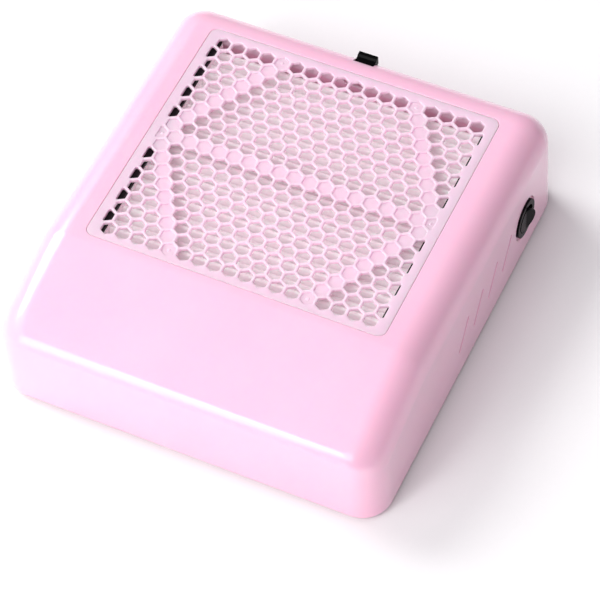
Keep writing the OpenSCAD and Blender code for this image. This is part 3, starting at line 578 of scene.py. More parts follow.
REST_YS = [INNER_SIDE_FROM + (REST_START - INNER_SIDE_FROM) * k / REST_ROWS
           for k in range(1, REST_ROWS + 1)]
FLAT_YS = [REST_START + (INNER_SIDE_TO - REST_START) * k / FLAT_ROWS for k in range(1, FLAT_ROWS)]
STATIONS = (
    [("front", k / FRONT_STEPS) for k in range(FRONT_STEPS)]
    + [("front_corner", k / CORNER_STEPS) for k in range(CORNER_STEPS + 1)]
    + [("side", side_share(y)) for y in REST_YS + FLAT_YS]
    + [("back_corner", k / CORNER_STEPS) for k in range(CORNER_STEPS + 1)]
    + [("back", 1 - k / BACK_STEPS) for k in range(1, BACK_STEPS + 1)]
)
print("stations on one half of the outline:", len(STATIONS))


def on_outline(kind, share, width, front, back, front_r, back_r):
    """The point of a rounded outline at a station, on the right-hand half."""
    turn = share * math.pi / 2
    if kind == "front":
        return share * (width - front_r[0]), front
    if kind == "front_corner":
        return (width - front_r[0] * (1 - math.sin(turn)),
                front + front_r[1] * (1 - math.cos(turn)))
    if kind == "side":
        low, high = front + front_r[1], back - back_r
        return width, low + share * (high - low)
    if kind == "back_corner":
        return (width - back_r * (1 - math.cos(turn)), back - back_r * (1 - math.sin(turn)))
    return share * (width - back_r), back


def smooth(share):
    return share * share * (3 - 2 * share)


def drop_at(kind, share):
    """How far below the top the wall starts to turn over."""
    if kind == "front":
        return FRONT_DROP
    if kind == "front_corner":
        return FRONT_DROP + (SIDE_R - FRONT_DROP) * smooth(share)
    if kind == "side":
        return SIDE_R
    if kind == "back_corner":
        return SIDE_R + (BACK_R - SIDE_R) * smooth(share)
    return BACK_R


def wall_point(kind, share, z, inset):
    r = CORNER_R - inset
    return on_outline(kind, share, half_width(z) - inset, front_edge(z) + inset,
                      back_edge(z) - inset, (r, r), r)


def column(kind, share, inset, floor):
    """One station's points from the floor, up the wall and over onto the top."""
    z_nominal = TOP - SIDE_R
    x3, y3 = on_outline(kind, share, half_width(z_nominal) - SIDE_R, -HALF_D + FRONT_SETBACK,
                        back_edge(z_nominal) - BACK_R, INNER_FRONT_R, INNER_BACK_R)
    z3 = rest_height(y3) - inset
    y0 = wall_point(kind, share, z_nominal, inset)[1]
    corner_z = z3 + rest_slope(y3) * (y0 - y3)
    z0 = corner_z - drop_at(kind, share) + inset
    x0, y0 = wall_point(kind, share, z0, inset)
    start, end = Vector((x0, y0, z0)), Vector((x3, y3, z3))
    up = Vector((0, 0, corner_z - z0)) * KAPPA
    out = Vector((x0 - x3, y0 - y3, corner_z - z3)) * KAPPA
    points = []
    if inset:
        points.append((*wall_point(kind, share, floor, inset), floor))
    else:
        for k in range(BOTTOM_STEPS + 1):
            turn = k / BOTTOM_STEPS * math.pi / 2
            ease = BOTTOM_EASE * (1 - math.sin(turn))
            z = floor + BOTTOM_EASE * (1 - math.cos(turn))
            points.append((*wall_point(kind, share, z, ease), z))
    for k in range(TURN_STEPS + 1):
        t = k / TURN_STEPS
        point = (start * (1 - t) ** 3 + (start + up) * 3 * t * (1 - t) ** 2
                 + (end + out) * 3 * t * t * (1 - t) + end * t ** 3)
        points.append(tuple(point))
    return points


# %% [markdown]
# ## From columns to a closed form
# The stations give one half and the other half mirrors it, so both sides match. The walls are
# lofted first, and then the top is filled across from left to right, one strip for each row.

# %% Loft the cover's outer and inner forms


def cover_form(inset, floor):
    """The closed outer form of the cover, or its inner form when inset by the wall."""
    half = [column(kind, share, inset, floor) for kind, share in STATIONS]
    mirrored = [[(-x, y, z) for x, y, z in line] for line in half[-2:0:-1]]
    columns = half + mirrored
    rings = [[line[level] for line in columns] for level in range(len(half[0]))]
    shape = bmesh.new()
    top = loft(shape, rings, last_cap=False)[-1]
    count, last = len(top), len(half) - 1
    first_row = FRONT_STEPS
    rest_end = first_row + CORNER_STEPS + REST_ROWS
    front_line = [top[-k] for k in range(first_row, 0, -1)] + [top[k] for k in range(first_row + 1)]
    shape.faces.new([*front_line, top[first_row + 1], top[-(first_row + 1)]])
    for k in range(first_row + 1, rest_end):
        shape.faces.new((top[-k], top[k], top[k + 1], top[-(k + 1)]))
    shape.faces.new([top[k] for k in range(rest_end, count - rest_end + 1)])
    bmesh.ops.recalc_face_normals(shape, faces=shape.faces)
    return shape


# %% [markdown]
# ## Cutters with eased mouths
# A window cut with a plain block leaves a knife edge, which no mould does and which never
# catches the light. Each cutter here flares where it leaves the surface, so the cut edge comes
# out already rounded, and no bevel has to find its way round the finished cover.

# %% Outlines and flared cutters
EASE_STEPS = 4
FLARE = math.radians(78)
FLARE_RISE = 0.3


def rounded_box_outline(width, height, radius, grow=0.0, steps=6):
    """A rounded rectangle round the origin, grown outward, anticlockwise."""
    points = []
    r = radius + grow
    for k, (sx, sy) in enumerate([(1, 1), (-1, 1), (-1, -1), (1, -1)]):
        for step in range(steps + 1):
            turn = (k + step / steps) * math.pi / 2
            points.append((sx * (width / 2 - radius) + r * math.cos(turn),
                           sy * (height / 2 - radius) + r * math.sin(turn)))
    return points


def circle_outline(radius, grow=0.0, steps=48):
    turns = [math.tau * k / steps for k in range(steps)]
    return [((radius + grow) * math.cos(turn), (radius + grow) * math.sin(turn)) for turn in turns]


def flared(outline, depth, ease, reach=4.0):
    """(points, height) rings of a cutter: height 0 is the surface, depth is below it."""
    rings = [(outline(0.0), -depth)]
    for k in range(EASE_STEPS + 1):
        turn = k / EASE_STEPS * FLARE
        rings.append((outline(ease * (1 - math.cos(turn))), -ease * (1 - math.sin(turn))))
    mouth = outline(ease * (1 - math.cos(FLARE)) + FLARE_RISE * math.tan(FLARE))
    last_height = -ease * (1 - math.sin(FLARE))
    return rings + [(mouth, last_height + FLARE_RISE), (mouth, last_height + reach)]


def placed(rings, place):
    """The rings as points in the housing: place takes (across, along, height)."""
    return [[tuple(place(x, y, height)) for x, y in points] for points, height in rings]


def box_rings(low, high):
    (x0, y0, z0), (x1, y1, z1) = low, high
    return [[(x0, y0, z), (x1, y0, z), (x1, y1, z), (x0, y1, z)] for z in (z0, z1)]


def post_rings(profile, x, y):
    """Rings of an upright turned post: profile is a list of (radius, height)."""
    return [[(x + a, y + b, height) for a, b in circle_outline(radius, steps=32)]
            for radius, height in profile]


# %% [markdown]
# ## A well for the filter
# The panel lies in a recess with a small ledge that carries its rim, and the filter hangs in
# a well below. The gap round the panel is the thin seam that shows from above, so the recess
# follows the panel's outline at an even distance.

# %% Well and recess
(PANEL_WEST, _, _), (PANEL_EAST, PANEL_BACK, _) = box_mm("grille_panel")
GRILLE_Y = 23.6
PANEL_FRONT = GRILLE_Y - 81.5
PANEL_R, PANEL_GAP = 5.0, 0.16
PANEL_MID_Y = (PANEL_FRONT + PANEL_BACK) / 2
PANEL_W, PANEL_D = PANEL_EAST - PANEL_WEST, PANEL_BACK - PANEL_FRONT
DECK_TOP, LEDGE_TOP, LEDGE_T, LEDGE_W, WELL_T = TOP - 31, TOP - 2.4, 1.6, 1.4, 2.0
EDGE_EASE = 0.45


def panel_ring(grow, z):
    outline = rounded_box_outline(PANEL_W, PANEL_D, PANEL_R, grow)
    return [(x, y + PANEL_MID_Y, z) for x, y in outline]


def on_top(x, y, height):
    return x, y + PANEL_MID_Y, TOP + height


def recess_outline(grow):
    return rounded_box_outline(PANEL_W, PANEL_D, PANEL_R, PANEL_GAP + grow)


well_block = solid([panel_ring(PANEL_GAP + WELL_T, z) for z in (DECK_TOP, TOP - 1)])
recess = [panel_ring(PANEL_GAP, DECK_TOP - 1),
          panel_ring(PANEL_GAP, LEDGE_TOP - LEDGE_T),
          panel_ring(PANEL_GAP - LEDGE_W, LEDGE_TOP - LEDGE_T),
          panel_ring(PANEL_GAP - LEDGE_W, LEDGE_TOP),
          *placed(flared(recess_outline, TOP - LEDGE_TOP, EDGE_EASE), on_top)]
recess_cutter = solid(recess)
print("well and recess:", round(PANEL_W, 1), "x", round(PANEL_D, 1), "mm")

# %% [markdown]
# ## Openings in the walls
# Each opening is drawn flat and then set on its wall. A wall leans, so a slit that was only
# turned would cut deeper at one end, and here every point is placed by the wall's width at
# its own height.

# %% Slits, switch seat and inlet
SLIT_W, SLIT_LEN, SLIT_COUNT, SLIT_PITCH = 1.8, 20.5, 4, 20.6
SLIT_FIRST_Y, SLIT_MID_Z, SLIT_LEAN = GRILLE_Y + 28.4, TOP - 44.6, math.radians(38)
SLIT_DEPTH, SLIT_EASE = 8.0, 0.5


def slit_outline(grow):
    return rounded_box_outline(SLIT_W, SLIT_LEN + SLIT_W, SLIT_W / 2 - 0.001, grow)


def slit_rings(side, y):
    def place(x, along, height):
        dy = along * math.sin(SLIT_LEAN) + x * math.cos(SLIT_LEAN)
        z = SLIT_MID_Z + along * math.cos(SLIT_LEAN) - x * math.sin(SLIT_LEAN)
        return side * (half_width(z) + height), y + dy, z

    return placed(flared(slit_outline, SLIT_DEPTH, SLIT_EASE), place)


slits = [slit_rings(side, SLIT_FIRST_Y - k * SLIT_PITCH)
         for side in (-1, 1) for k in range(SLIT_COUNT)]

SWITCH_Y, SWITCH_Z, BEZEL_D, BEZEL_X = GRILLE_Y + 55, TOP - 44, 24.0, HALF_W - 1.6
SWITCH_HOLE_R, SEAT_RIM, SEAT_EASE = 10.1, 1.6, 0.4


def on_right_wall(x, along, height):
    return half_width(SWITCH_Z) + height, SWITCH_Y + x, SWITCH_Z + along


def seat_outline(grow):
    return circle_outline(BEZEL_D / 2 + SEAT_RIM, grow)


switch_seat = placed(flared(seat_outline, half_width(SWITCH_Z) - BEZEL_X, SEAT_EASE), on_right_wall)
switch_hole = placed([(circle_outline(SWITCH_HOLE_R), height) for height in (-12.0, 4.0)],
                     on_right_wall)

INLET_X, INLET_Z, INLET_W, INLET_H = 70.0, 22.0, 24.0, 14.0
INLET_CLEAR, INLET_R, INLET_DEPTH, INLET_EASE = 0.3, 0.8, 9.0, 0.35


def on_back_wall(x, along, height):
    z = INLET_Z + along
    return INLET_X - x, back_edge(z) + height, z


def inlet_outline(grow):
    return rounded_box_outline(INLET_W + 2 * INLET_CLEAR, INLET_H + 2 * INLET_CLEAR, INLET_R, grow)


inlet_hole = placed(flared(inlet_outline, INLET_DEPTH, INLET_EASE), on_back_wall)
print("side openings:", len(slits), "slits, a switch seat and an inlet")

# %% [markdown]
# ## Windows, bosses and guides
# The panel's tongues, the latch and the six base screws need places of their own. Nobody sees
# them while the panel is shut, so plain blocks and turned posts are enough.

# %% Windows, bosses and guides
TONGUE_X, TONGUE_W, TONGUE_CLEAR = 60.0, 14.0, 1.0
WINDOW_FRONT, WINDOW_BACK, WINDOW_LOW = PANEL_FRONT - 5, PANEL_FRONT + 3, TOP - 8
windows = []
for side in (-1, 1):
    reach = TONGUE_W / 2 + TONGUE_CLEAR
    windows.append(box_rings((side * TONGUE_X - reach, WINDOW_FRONT, WINDOW_LOW),
                             (side * TONGUE_X + reach, WINDOW_BACK, TOP - WALL)))
LATCH_W, LATCH_FRONT, LATCH_Z, LATCH_H, LATCH_CLEAR = 12.0, GRILLE_Y + 86, TOP - 9, 6.0, 0.4
latch_notch = box_rings((-LATCH_W / 2 - LATCH_CLEAR, LATCH_FRONT - 0.6, LATCH_Z - LATCH_CLEAR),
                        (LATCH_W / 2 + LATCH_CLEAR, HALF_D + 5, LATCH_Z + LATCH_H + LATCH_CLEAR))
NOSE_W, NOSE_LOW, NOSE_HIGH = 10, TOP - 7, TOP - 5
nose_window = box_rings((-NOSE_W / 2 - LATCH_CLEAR, PANEL_BACK - 4, NOSE_LOW - LATCH_CLEAR),
                        (NOSE_W / 2 + LATCH_CLEAR, LATCH_FRONT, NOSE_HIGH + LATCH_CLEAR))

BASE_SCREW_X, BASE_SCREW_YS = 104, (-112, -50, 110)
BOSS = [(4.5, TABLE_GAP + 2.5), (4.5, 37), (4.2, 37.6)]
bosses = [post_rings(BOSS, side * BASE_SCREW_X, y) for side in (-1, 1) for y in BASE_SCREW_YS]
GUIDE_IN, GUIDE_OUT = LATCH_W / 2 + LATCH_CLEAR, LATCH_W / 2 + LATCH_CLEAR + 3
GUIDE_FRONT, GUIDE_BACK = LATCH_FRONT - 1.5, LATCH_FRONT + 6
GUIDE_LOW, GUIDE_HIGH = TOP - 18, TOP - 2.3
guides = [box_rings((low, GUIDE_FRONT, GUIDE_LOW), (high, GUIDE_BACK, GUIDE_HIGH))
          for low, high in ((-GUIDE_OUT, -GUIDE_IN), (GUIDE_IN, GUIDE_OUT))]
print("inside the cover:", len(bosses), "bosses and", len(guides), "latch guides")

# %% [markdown]
# ## The cover in one piece
# The inner form is cut from the outer one, which leaves an even wall. All that adds material
# comes before the openings, so that no boss can close one of them.

# %% Carve the cover
cover_shape = carved(
    cover_form(0.0, TABLE_GAP),
    ("DIFFERENCE", cover_form(WALL, TABLE_GAP - 1)),
    ("UNION", well_block),
    ("UNION", solid(*bosses, *guides)),
    ("DIFFERENCE", recess_cutter),
    ("DIFFERENCE", solid(*windows, latch_notch)),
    ("DIFFERENCE", solid(nose_window)),
    ("DIFFERENCE", solid(*slits, switch_hole, inlet_hole)),
    ("DIFFERENCE", solid(switch_seat)),
)
piece("moulded_cover", cover_shape, "housing", pink, ["top_cover"])

# %% [markdown]
# ## The honeycomb grille
# The grille is one flat moulding: nineteen rows of six-sided cells, most of them open. A
# large hexagon and its middle bar are blind pockets, which stiffen the panel and decorate it.
# An array of small parts would leave hundreds of seams, so the whole face is triangulated once
# round its holes, and each hole then gets a rounded rim and its own wall.

# %% Where the cells are
PITCH, OPENING, GRILLE_T, POCKET = 9.4, 7.8, 2.2, 0.8
ROW_PITCH = PITCH * math.sqrt(3) / 2
LAST_ROW, CELLS_PER_ROW = 18, 18
MID_ROW = LAST_ROW / 2
HALF_CELL_REACH = 1.0
CELL_CORNER_R = 0.85


def cell_centre(row, i):
    return (i - (CELLS_PER_ROW - 1) / 2) * PITCH, GRILLE_Y + (MID_ROW - row) * ROW_PITCH


def is_blind(row, i):
    from_mid = abs(row - MID_ROW)
    return row == MID_ROW or i in (4 - 0.5 * (MID_ROW - from_mid), 13 + 0.5 * (MID_ROW - from_mid))


def cells_in(row):
    return [i - 0.5 * (row % 2) for i in range(CELLS_PER_ROW + row % 2)]


def rounded_corners(corners, radius, steps=3):
    """The outline through rounded corners; corners run anticlockwise."""
    points = []
    befores, afters = corners[-1:] + corners[:-1], corners[1:] + corners[:1]
    for before, corner, after in zip(befores, corners, afters):
        to_before, to_after = (before - corner).normalized(), (after - corner).normalized()
        half = to_before.angle(to_after) / 2
        middle = corner + (to_before + to_after).normalized() * (radius / math.sin(half))
        a = corner + to_before * (radius / math.tan(half)) - middle
        b = corner + to_after * (radius / math.tan(half)) - middle
        sweep = a.angle_signed(b)
        for step in range(steps + 1):
            turn = -sweep * step / steps
            points.append(middle + Vector((a.x * math.cos(turn) - a.y * math.sin(turn),
                                           a.x * math.sin(turn) + a.y * math.cos(turn))))
    return points


def cell_outline(row, i, grow=0.0):
    """A cell's rounded opening, grown outward; the cells at the ends of odd rows are halves."""
    flat = OPENING / 2 + grow
    tip = flat * 2 / math.sqrt(3)
    cut = -HALF_CELL_REACH - grow
    if 0 <= i <= CELLS_PER_ROW - 1:
        turns = [math.radians(30 + 60 * k) for k in range(6)]
        corners = [Vector((tip * math.cos(turn), tip * math.sin(turn))) for turn in turns]
    else:
        cut_y = tip + cut * math.tan(math.radians(30))
        corners = [Vector(p) for p in [(cut, -cut_y), (0, -tip), (flat, -tip / 2),
                                       (flat, tip / 2), (0, tip), (cut, cut_y)]]
        if i > CELLS_PER_ROW - 1:
            corners = [Vector((-p.x, p.y)) for p in reversed(corners)]
    x, y = cell_centre(row, i)
    return [Vector((p.x + x, p.y + y)) for p in rounded_corners(corners, CELL_CORNER_R + grow)]


CELLS = [(row, i) for row in range(LAST_ROW + 1) for i in cells_in(row)]
OPEN_CELLS = [cell for cell in CELLS if not is_blind(*cell)]
BLIND_CELLS = [cell for cell in CELLS if is_blind(*cell)]
print("cells:", len(OPEN_CELLS), "open and", len(BLIND_CELLS), "blind")

# %% [markdown]
# ## The plate, face by face
# The top and the underside are filled round their holes, and walls join each pair of openings.
# The rims are rounded as the walls go down, so no edge has to be found and bevelled later.

# %% Build the grille plate
RIM = 0.38
RIM_STEPS = 3
PIP_CELLS = {(0, 4): 0, (0, 13): 0, (9, -0.5): 1.4, (9, 17.5): -1.4, (18, 4): 0, (18, 13): 0}
PIP_R, PIP_H = 1.1, 0.4
PIP_SIDE = [(PIP_R + 0.15, 0), (PIP_R, 0.12), (PIP_R, PIP_H - 0.15), (PIP_R - 0.2, PIP_H)]
POCKET_EASE = 0.2
UNDER = TOP - GRILLE_T


def face_with_holes(shape, outline, holes, z, facing_up):
    """Triangles of a flat face with holes; returns the rows of vertices round each hole."""
    points = [Vector(p) for p in outline]
    loops = [list(range(len(points)))]
    for hole in holes:
        loops.append(list(range(len(points), len(points) + len(hole))))
        points.extend(hole)
    found, _, triangles, origins, _, _ = delaunay_2d_cdt(points, [], loops, 2, 1e-6)
    place_of = {}
    for new, old_ones in enumerate(origins):
        for old in old_ones:
            place_of[old] = new
    verts = [shape.verts.new((p.x, p.y, z)) for p in found]
    for triangle in triangles:
        corners = [verts[k] for k in triangle]
        shape.faces.new(corners if facing_up else corners[::-1])
    return [[verts[place_of[k]] for k in loop] for loop in loops]


def skin_down(shape, row, points, z):
    """Joins a row of vertices to a new row of points at z, and returns the new row."""
    below = [shape.verts.new((p[0], p[1], z)) for p in points]
    count = len(row)
    for k in range(count):
        shape.faces.new((row[k], below[k], below[(k + 1) % count], row[(k + 1) % count]))
    return below


def rim_levels(size):
    """(grow, depth below the face) down a rounded rim."""
    turns = [k / RIM_STEPS * math.pi / 2 for k in range(1, RIM_STEPS + 1)]
    return [(size * (1 - math.sin(turn)), size * (1 - math.cos(turn))) for turn in turns]


def panel_outline(grow):
    return [(x, y + PANEL_MID_Y) for x, y in rounded_box_outline(PANEL_W, PANEL_D, PANEL_R, grow)]


plate = bmesh.new()
top_rows = face_with_holes(plate, panel_outline(-RIM),
                           [cell_outline(*cell, RIM) for cell in CELLS], TOP, True)
open_ends = {}
for cell, row in zip(CELLS, top_rows[1:]):
    for grow, depth in rim_levels(RIM):
        row = skin_down(plate, row, cell_outline(*cell, grow), TOP - depth)
    open_ends[cell] = row
edge_row = top_rows[0]
for grow, depth in rim_levels(RIM):
    edge_row = skin_down(plate, edge_row, panel_outline(-grow), TOP - depth)
under_rows = face_with_holes(plate, panel_outline(0),
                             [cell_outline(*cell) for cell in OPEN_CELLS], UNDER, False)
for upper, lower in zip([edge_row] + [open_ends[cell] for cell in OPEN_CELLS], under_rows):
    count = len(upper)
    for k in range(count):
        plate.faces.new((upper[k], lower[k], lower[(k + 1) % count], upper[(k + 1) % count]))
for cell in BLIND_CELLS:
    x, y = cell_centre(*cell)
    floor = TOP - POCKET
    floor_outline = cell_outline(*cell, -POCKET_EASE)
    row = skin_down(plate, open_ends[cell], cell_outline(*cell), floor + POCKET_EASE)
    row = skin_down(plate, row, floor_outline, floor)
    if cell in PIP_CELLS:
        x += PIP_CELLS[cell]
        pip = Vector((x, y))
        for radius, height in PIP_SIDE:
            dome = [pip + (p - pip).normalized() * radius for p in floor_outline]
            row = skin_down(plate, row, dome, floor + height)
    plate.faces.new(row)
bmesh.ops.recalc_face_normals(plate, faces=plate.faces)
open_edges = sum(not e.is_manifold for e in plate.edges)
print("grille plate:", len(plate.faces), "faces, open edges:", open_edges)

# %% [markdown]
# ## The panel's underside
# Seen through the cells and when the panel is lifted, the underside has a skirt that keeps
# air from slipping past the filter, ribs under the blind cells, and two tongues that hook
# under the cover. They are joined to the plate as solids, so the panel stays one moulding.

# %% Skirt, ribs and tongues
SKIRT_T, SKIRT_BOTTOM, SKIRT_X, SKIRT_FRONT, SKIRT_BACK = 1.4, TOP - 9, 1.6, 1.6, 1.9
SKIRT_R, SKIRT_EASE = 4.0, 0.25
NOTCH_W, NOTCH_LOW, NOTCH_HIGH = 12, TOP - 7.6, TOP - 4.4
RIB_W, RIB_BOTTOM, RIB_EASE, BITE, CAP_CLEAR = 2.4, TOP - 7.2, 0.3, 0.2, 2.2
TONGUE_REACH, TONGUE_TOP, TONGUE_T, TONGUE_R, TONGUE_EASE = 3.5, TOP - 3.3, 1.6, 1.2, 0.35
ROOT = UNDER + BITE


def skirt_ring(inset, z):
    front, back = PANEL_FRONT + SKIRT_FRONT + inset, PANEL_BACK - SKIRT_BACK - inset
    outline = rounded_box_outline(PANEL_W - 2 * (SKIRT_X + inset), back - front, SKIRT_R - inset)
    return [(x, y + (front + back) / 2, z) for x, y in outline]


skirt_outside = [skirt_ring(SKIRT_EASE, SKIRT_BOTTOM),
                 skirt_ring(0, SKIRT_BOTTOM + SKIRT_EASE),
                 skirt_ring(0, ROOT)]
skirt_inside = [skirt_ring(SKIRT_T - SKIRT_EASE, SKIRT_BOTTOM - 0.05),
                skirt_ring(SKIRT_T, SKIRT_BOTTOM + SKIRT_EASE),
                skirt_ring(SKIRT_T, ROOT + 1)]
skirt_notch = box_rings((-NOTCH_W / 2, PANEL_BACK - 5, NOTCH_LOW),
                        (NOTCH_W / 2, PANEL_BACK, NOTCH_HIGH))
skirt = carved(solid(skirt_outside),
               ("DIFFERENCE", solid(skirt_inside)),
               ("DIFFERENCE", solid(skirt_notch)))


def rib(middle, length, turn):
    """A straight rib under the plate, with an eased lower edge."""
    rings = []
    for narrow, z in [(RIB_EASE, RIB_BOTTOM), (0.0, RIB_BOTTOM + RIB_EASE), (0.0, ROOT)]:
        outline = rounded_box_outline(length, RIB_W - 2 * narrow, 0.2, 0, 2)
        rings.append([(middle[0] + x * math.cos(turn) - y * math.sin(turn),
                       middle[1] + x * math.sin(turn) + y * math.cos(turn), z) for x, y in outline])
    return rings


reach_x, reach_y = cell_centre(MID_ROW, CELLS_PER_ROW - 0.5)[0], MID_ROW * ROW_PITCH
slant = math.hypot(reach_x / 2, reach_y) - PITCH - 2 * CAP_CLEAR
ribs = [rib((side * reach_x * 0.75, GRILLE_Y + end * reach_y / 2), slant,
            math.atan2(-end * reach_y, side * reach_x / 2))
        for side in (-1, 1) for end in (-1, 1)]
ribs.append(rib((0, GRILLE_Y), 2 * (reach_x - CAP_CLEAR), 0.0))
tongue_low, tongue_high = PANEL_FRONT - TONGUE_REACH, PANEL_FRONT + SKIRT_FRONT + 0.5
tongue_levels = [(TONGUE_EASE, TONGUE_TOP - TONGUE_T), (0, TONGUE_TOP - TONGUE_T + TONGUE_EASE),
                 (0, TONGUE_TOP - TONGUE_EASE), (TONGUE_EASE, TONGUE_TOP)]
tongues = []
for side in (-1, 1):
    rings = []
    for narrow, z in tongue_levels:
        outline = rounded_box_outline(
            TONGUE_W - 2 * narrow, tongue_high - tongue_low - 2 * narrow, TONGUE_R - narrow)
        rings.append([(side * TONGUE_X + x, (tongue_low + tongue_high) / 2 + y, z)
                      for x, y in outline])
    tongues.append(rings)
panel_shape = carved(plate, ("UNION", skirt),
                     *[("UNION", solid(rings)) for rings in ribs + tongues])
piece("grille", panel_shape, "panel", thin_pink, ["grille_panel"])

# %% [markdown]
# ## The pleated filter
# The filter paper is one long sheet folded twenty-eight times. A wave modifier could fake it,
# but real pleats have straight sides and small round folds, so the sheet's line is drawn
# across the folds, given its thickness, and swept from one board to the other. Each pleat
# leans by a hair, as folded paper does.

# %% Fold the paper
(PAPER_WEST, _, _), (PAPER_EAST, _, _) = box_mm("filter_media")
PLEATS, PAPER_T, PLEAT_HALF_D = 28, 0.7, 75.0
PLEAT_TOP, PLEAT_BOTTOM = TOP - 7.7, TOP - 23.9
FOLD_R, FOLD_ROUND = 1.05, 0.98
PAPER_SPANS = 8


def fold_line():
    """The middle line of the folded sheet, in (y, z), with round folds."""
    step = PLEAT_HALF_D / PLEATS
    corners = []
    for k in range(2 * PLEATS + 1):
        lean = 0.16 * math.sin(2.3 * k) + 0.1 * math.sin(5.1 * k + 1)
        sag = 0.12 * math.sin(3.7 * k) + 0.12
        z = PLEAT_TOP - PAPER_T / 2 - sag if k % 2 else PLEAT_BOTTOM + PAPER_T / 2
        corners.append(Vector((-PLEAT_HALF_D + k * step + lean, z)))
    line = [corners[0]]
    for before, corner, after in zip(corners, corners[1:], corners[2:]):
        down_first, down_last = (before - corner).normalized(), (after - corner).normalized()
        inward = (down_first + down_last).normalized()
        half = down_first.angle(down_last) / 2
        middle = corner + inward * FOLD_R
        spread = math.pi / 2 - half
        for turn in (-1, -0.5, 0, 0.5, 1):
            angle = spread * turn * FOLD_ROUND
            away = -inward
            turned_way = Vector((away.x * math.cos(angle) - away.y * math.sin(angle),
                                 away.x * math.sin(angle) + away.y * math.cos(angle)))
            line.append(middle + turned_way * FOLD_R)
        if (line[-5] - before).length > (line[-1] - before).length:
            line[-5:] = line[-5:][::-1]
    line.append(corners[-1])
    return line


folds = fold_line()
flat_length = sum((b - a).length for a, b in zip(folds, folds[1:]))
sides = []
for k, point in enumerate(folds):
    along = (folds[min(k + 1, len(folds) - 1)] - folds[max(k - 1, 0)]).normalized()
    sides.append(Vector((-along.y, along.x)) * PAPER_T / 2)
band = [p + s for p, s in zip(folds, sides)] + [p - s for p, s in zip(folds[::-1], sides[::-1])]
paper_shape = bmesh.new()
paper_xs = [PAPER_WEST + (PAPER_EAST - PAPER_WEST) * k / PAPER_SPANS
            for k in range(PAPER_SPANS + 1)]
ends = [[paper_shape.verts.new((x, p.x + GRILLE_Y, p.y)) for p in band] for x in paper_xs]
count = len(band)
for low, high in zip(ends, ends[1:]):
    for k in range(count):
        paper_shape.faces.new((low[k], low[(k + 1) % count], high[(k + 1) % count], high[k]))
for row in (ends[0], ends[-1]):
    for k in range(count // 2 - 1):
        paper_shape.faces.new((row[k], row[k + 1], row[count - 2 - k], row[count - 1 - k]))
pleated = piece("pleated_paper", paper_shape, "panel", paper, ["filter_media"], 50)
print("flat paper:", round(PAPER_EAST - PAPER_WEST, 1), "x", round(flat_length, 1), "mm")

# %% [markdown]
# ## The filter's frame
# The pleats are glued between two card boards, and a black strip along the top of each board
# seals it against the panel. Two colours of one CAD part could be painted by a mask, but two
# pieces give the strip its own rounded edges and let it be a little thinner than its board.

# %% Boards and sealing strips
(_, FRAME_SOUTH, FRAME_LOW), (FRAME_EAST, FRAME_NORTH, FRAME_HIGH) = box_mm("filter_frame")
FRAME_MID_Y, FRAME_D = (FRAME_SOUTH + FRAME_NORTH) / 2, FRAME_NORTH - FRAME_SOUTH
BOARD_T, STRIP_H, BAR_T, BAR_H = 4.8, 2.8, 2.5, 8.0
BOARD_R, BAR_R, CARD_EASE, STRIP_EASE = 1.0, 0.4, 0.3, 0.5
STRIP_T = {-1: 4.4, 1: 3.75}


def upright(x, y, width, depth, radius, low, high, ease):
    """Rings of an upright block with rounded corners and eased top and bottom edges."""
    rings = []
    for narrow, z in [(ease, low), (0, low + ease), (0, high - ease),
                      (ease * 0.3, high - ease * 0.3), (ease, high)]:
        outline = rounded_box_outline(
            width - 2 * narrow, depth - 2 * narrow, max(radius - narrow, 0.05))
        rings.append([(x + px, y + py, z) for px, py in outline])
    return rings


board_x = FRAME_EAST - BOARD_T / 2
bar_w = 2 * (FRAME_EAST - BOARD_T) - 0.02
boards = [upright(side * board_x, FRAME_MID_Y, BOARD_T, FRAME_D, BOARD_R,
                  FRAME_LOW, FRAME_HIGH - STRIP_H, CARD_EASE) for side in (-1, 1)]
strips = [upright(side * (FRAME_EAST - thick / 2), FRAME_MID_Y, thick, FRAME_D, BOARD_R,
                  FRAME_HIGH - STRIP_H, FRAME_HIGH, STRIP_EASE) for side, thick in STRIP_T.items()]
bars = [upright(0, FRAME_MID_Y + end * (FRAME_D - BAR_T) / 2, bar_w, BAR_T, BAR_R,
                FRAME_LOW, FRAME_LOW + BAR_H, CARD_EASE) for end in (-1, 1)]
piece("filter_boards", solid(*boards, *bars), "panel", paper, ["filter_frame"])
piece("filter_strips", solid(*strips), "panel", frame_black, ["filter_frame"])

# %% [markdown]
# ## Parts with eased edges
# Parts with flat faces and right places only lack the small radius that every real edge has.
# A bevel modifier on the CAD part would change a frame mesh, so this tool copies the part,
# merges its triangles back into whole faces and eases the edges of the copy.

# %% Ease the edges of the small parts
SHARP = math.radians(25)


def from_cad(node):
    """A copy of a CAD part's mesh, in mm."""
    shape = bmesh.new()
    shape.from_mesh(frame["nodes"][node].data)
    bmesh.ops.scale(shape, vec=(1 / MM, 1 / MM, 1 / MM), verts=shape.verts)
    return shape


def eased(shape, width):
    """The shape with whole flat faces and its sharper edges rounded."""
    bmesh.ops.remove_doubles(shape, verts=shape.verts, dist=0.005)
    bmesh.ops.dissolve_limit(shape, angle_limit=math.radians(1.0),
                             verts=shape.verts, edges=shape.edges)
    sharp = [e for e in shape.edges if e.is_manifold and e.calc_face_angle(0) > SHARP]
    bmesh.ops.bevel(shape, geom=sharp, offset=width, segments=2, profile=0.6,
                    affect="EDGES", clamp_overlap=True)
    return shape


EASED = [
    ("switch_housing", "switch_bezel", "housing", "black_switch", switch_black, 0.25),
    ("switch_rocker", "rocker", "rocker", "black_switch", switch_black, 0.45),
    ("base_plate", "base_cover", "housing", "pink_housing", pink, 0.3),
    ("power_inlet", "mains_inlet", "housing", "black_switch", switch_black, 0.25),
]
for node, name, body, slot, finish, width in EASED:
    piece(name, eased(from_cad(node), width), body, finish, [node])

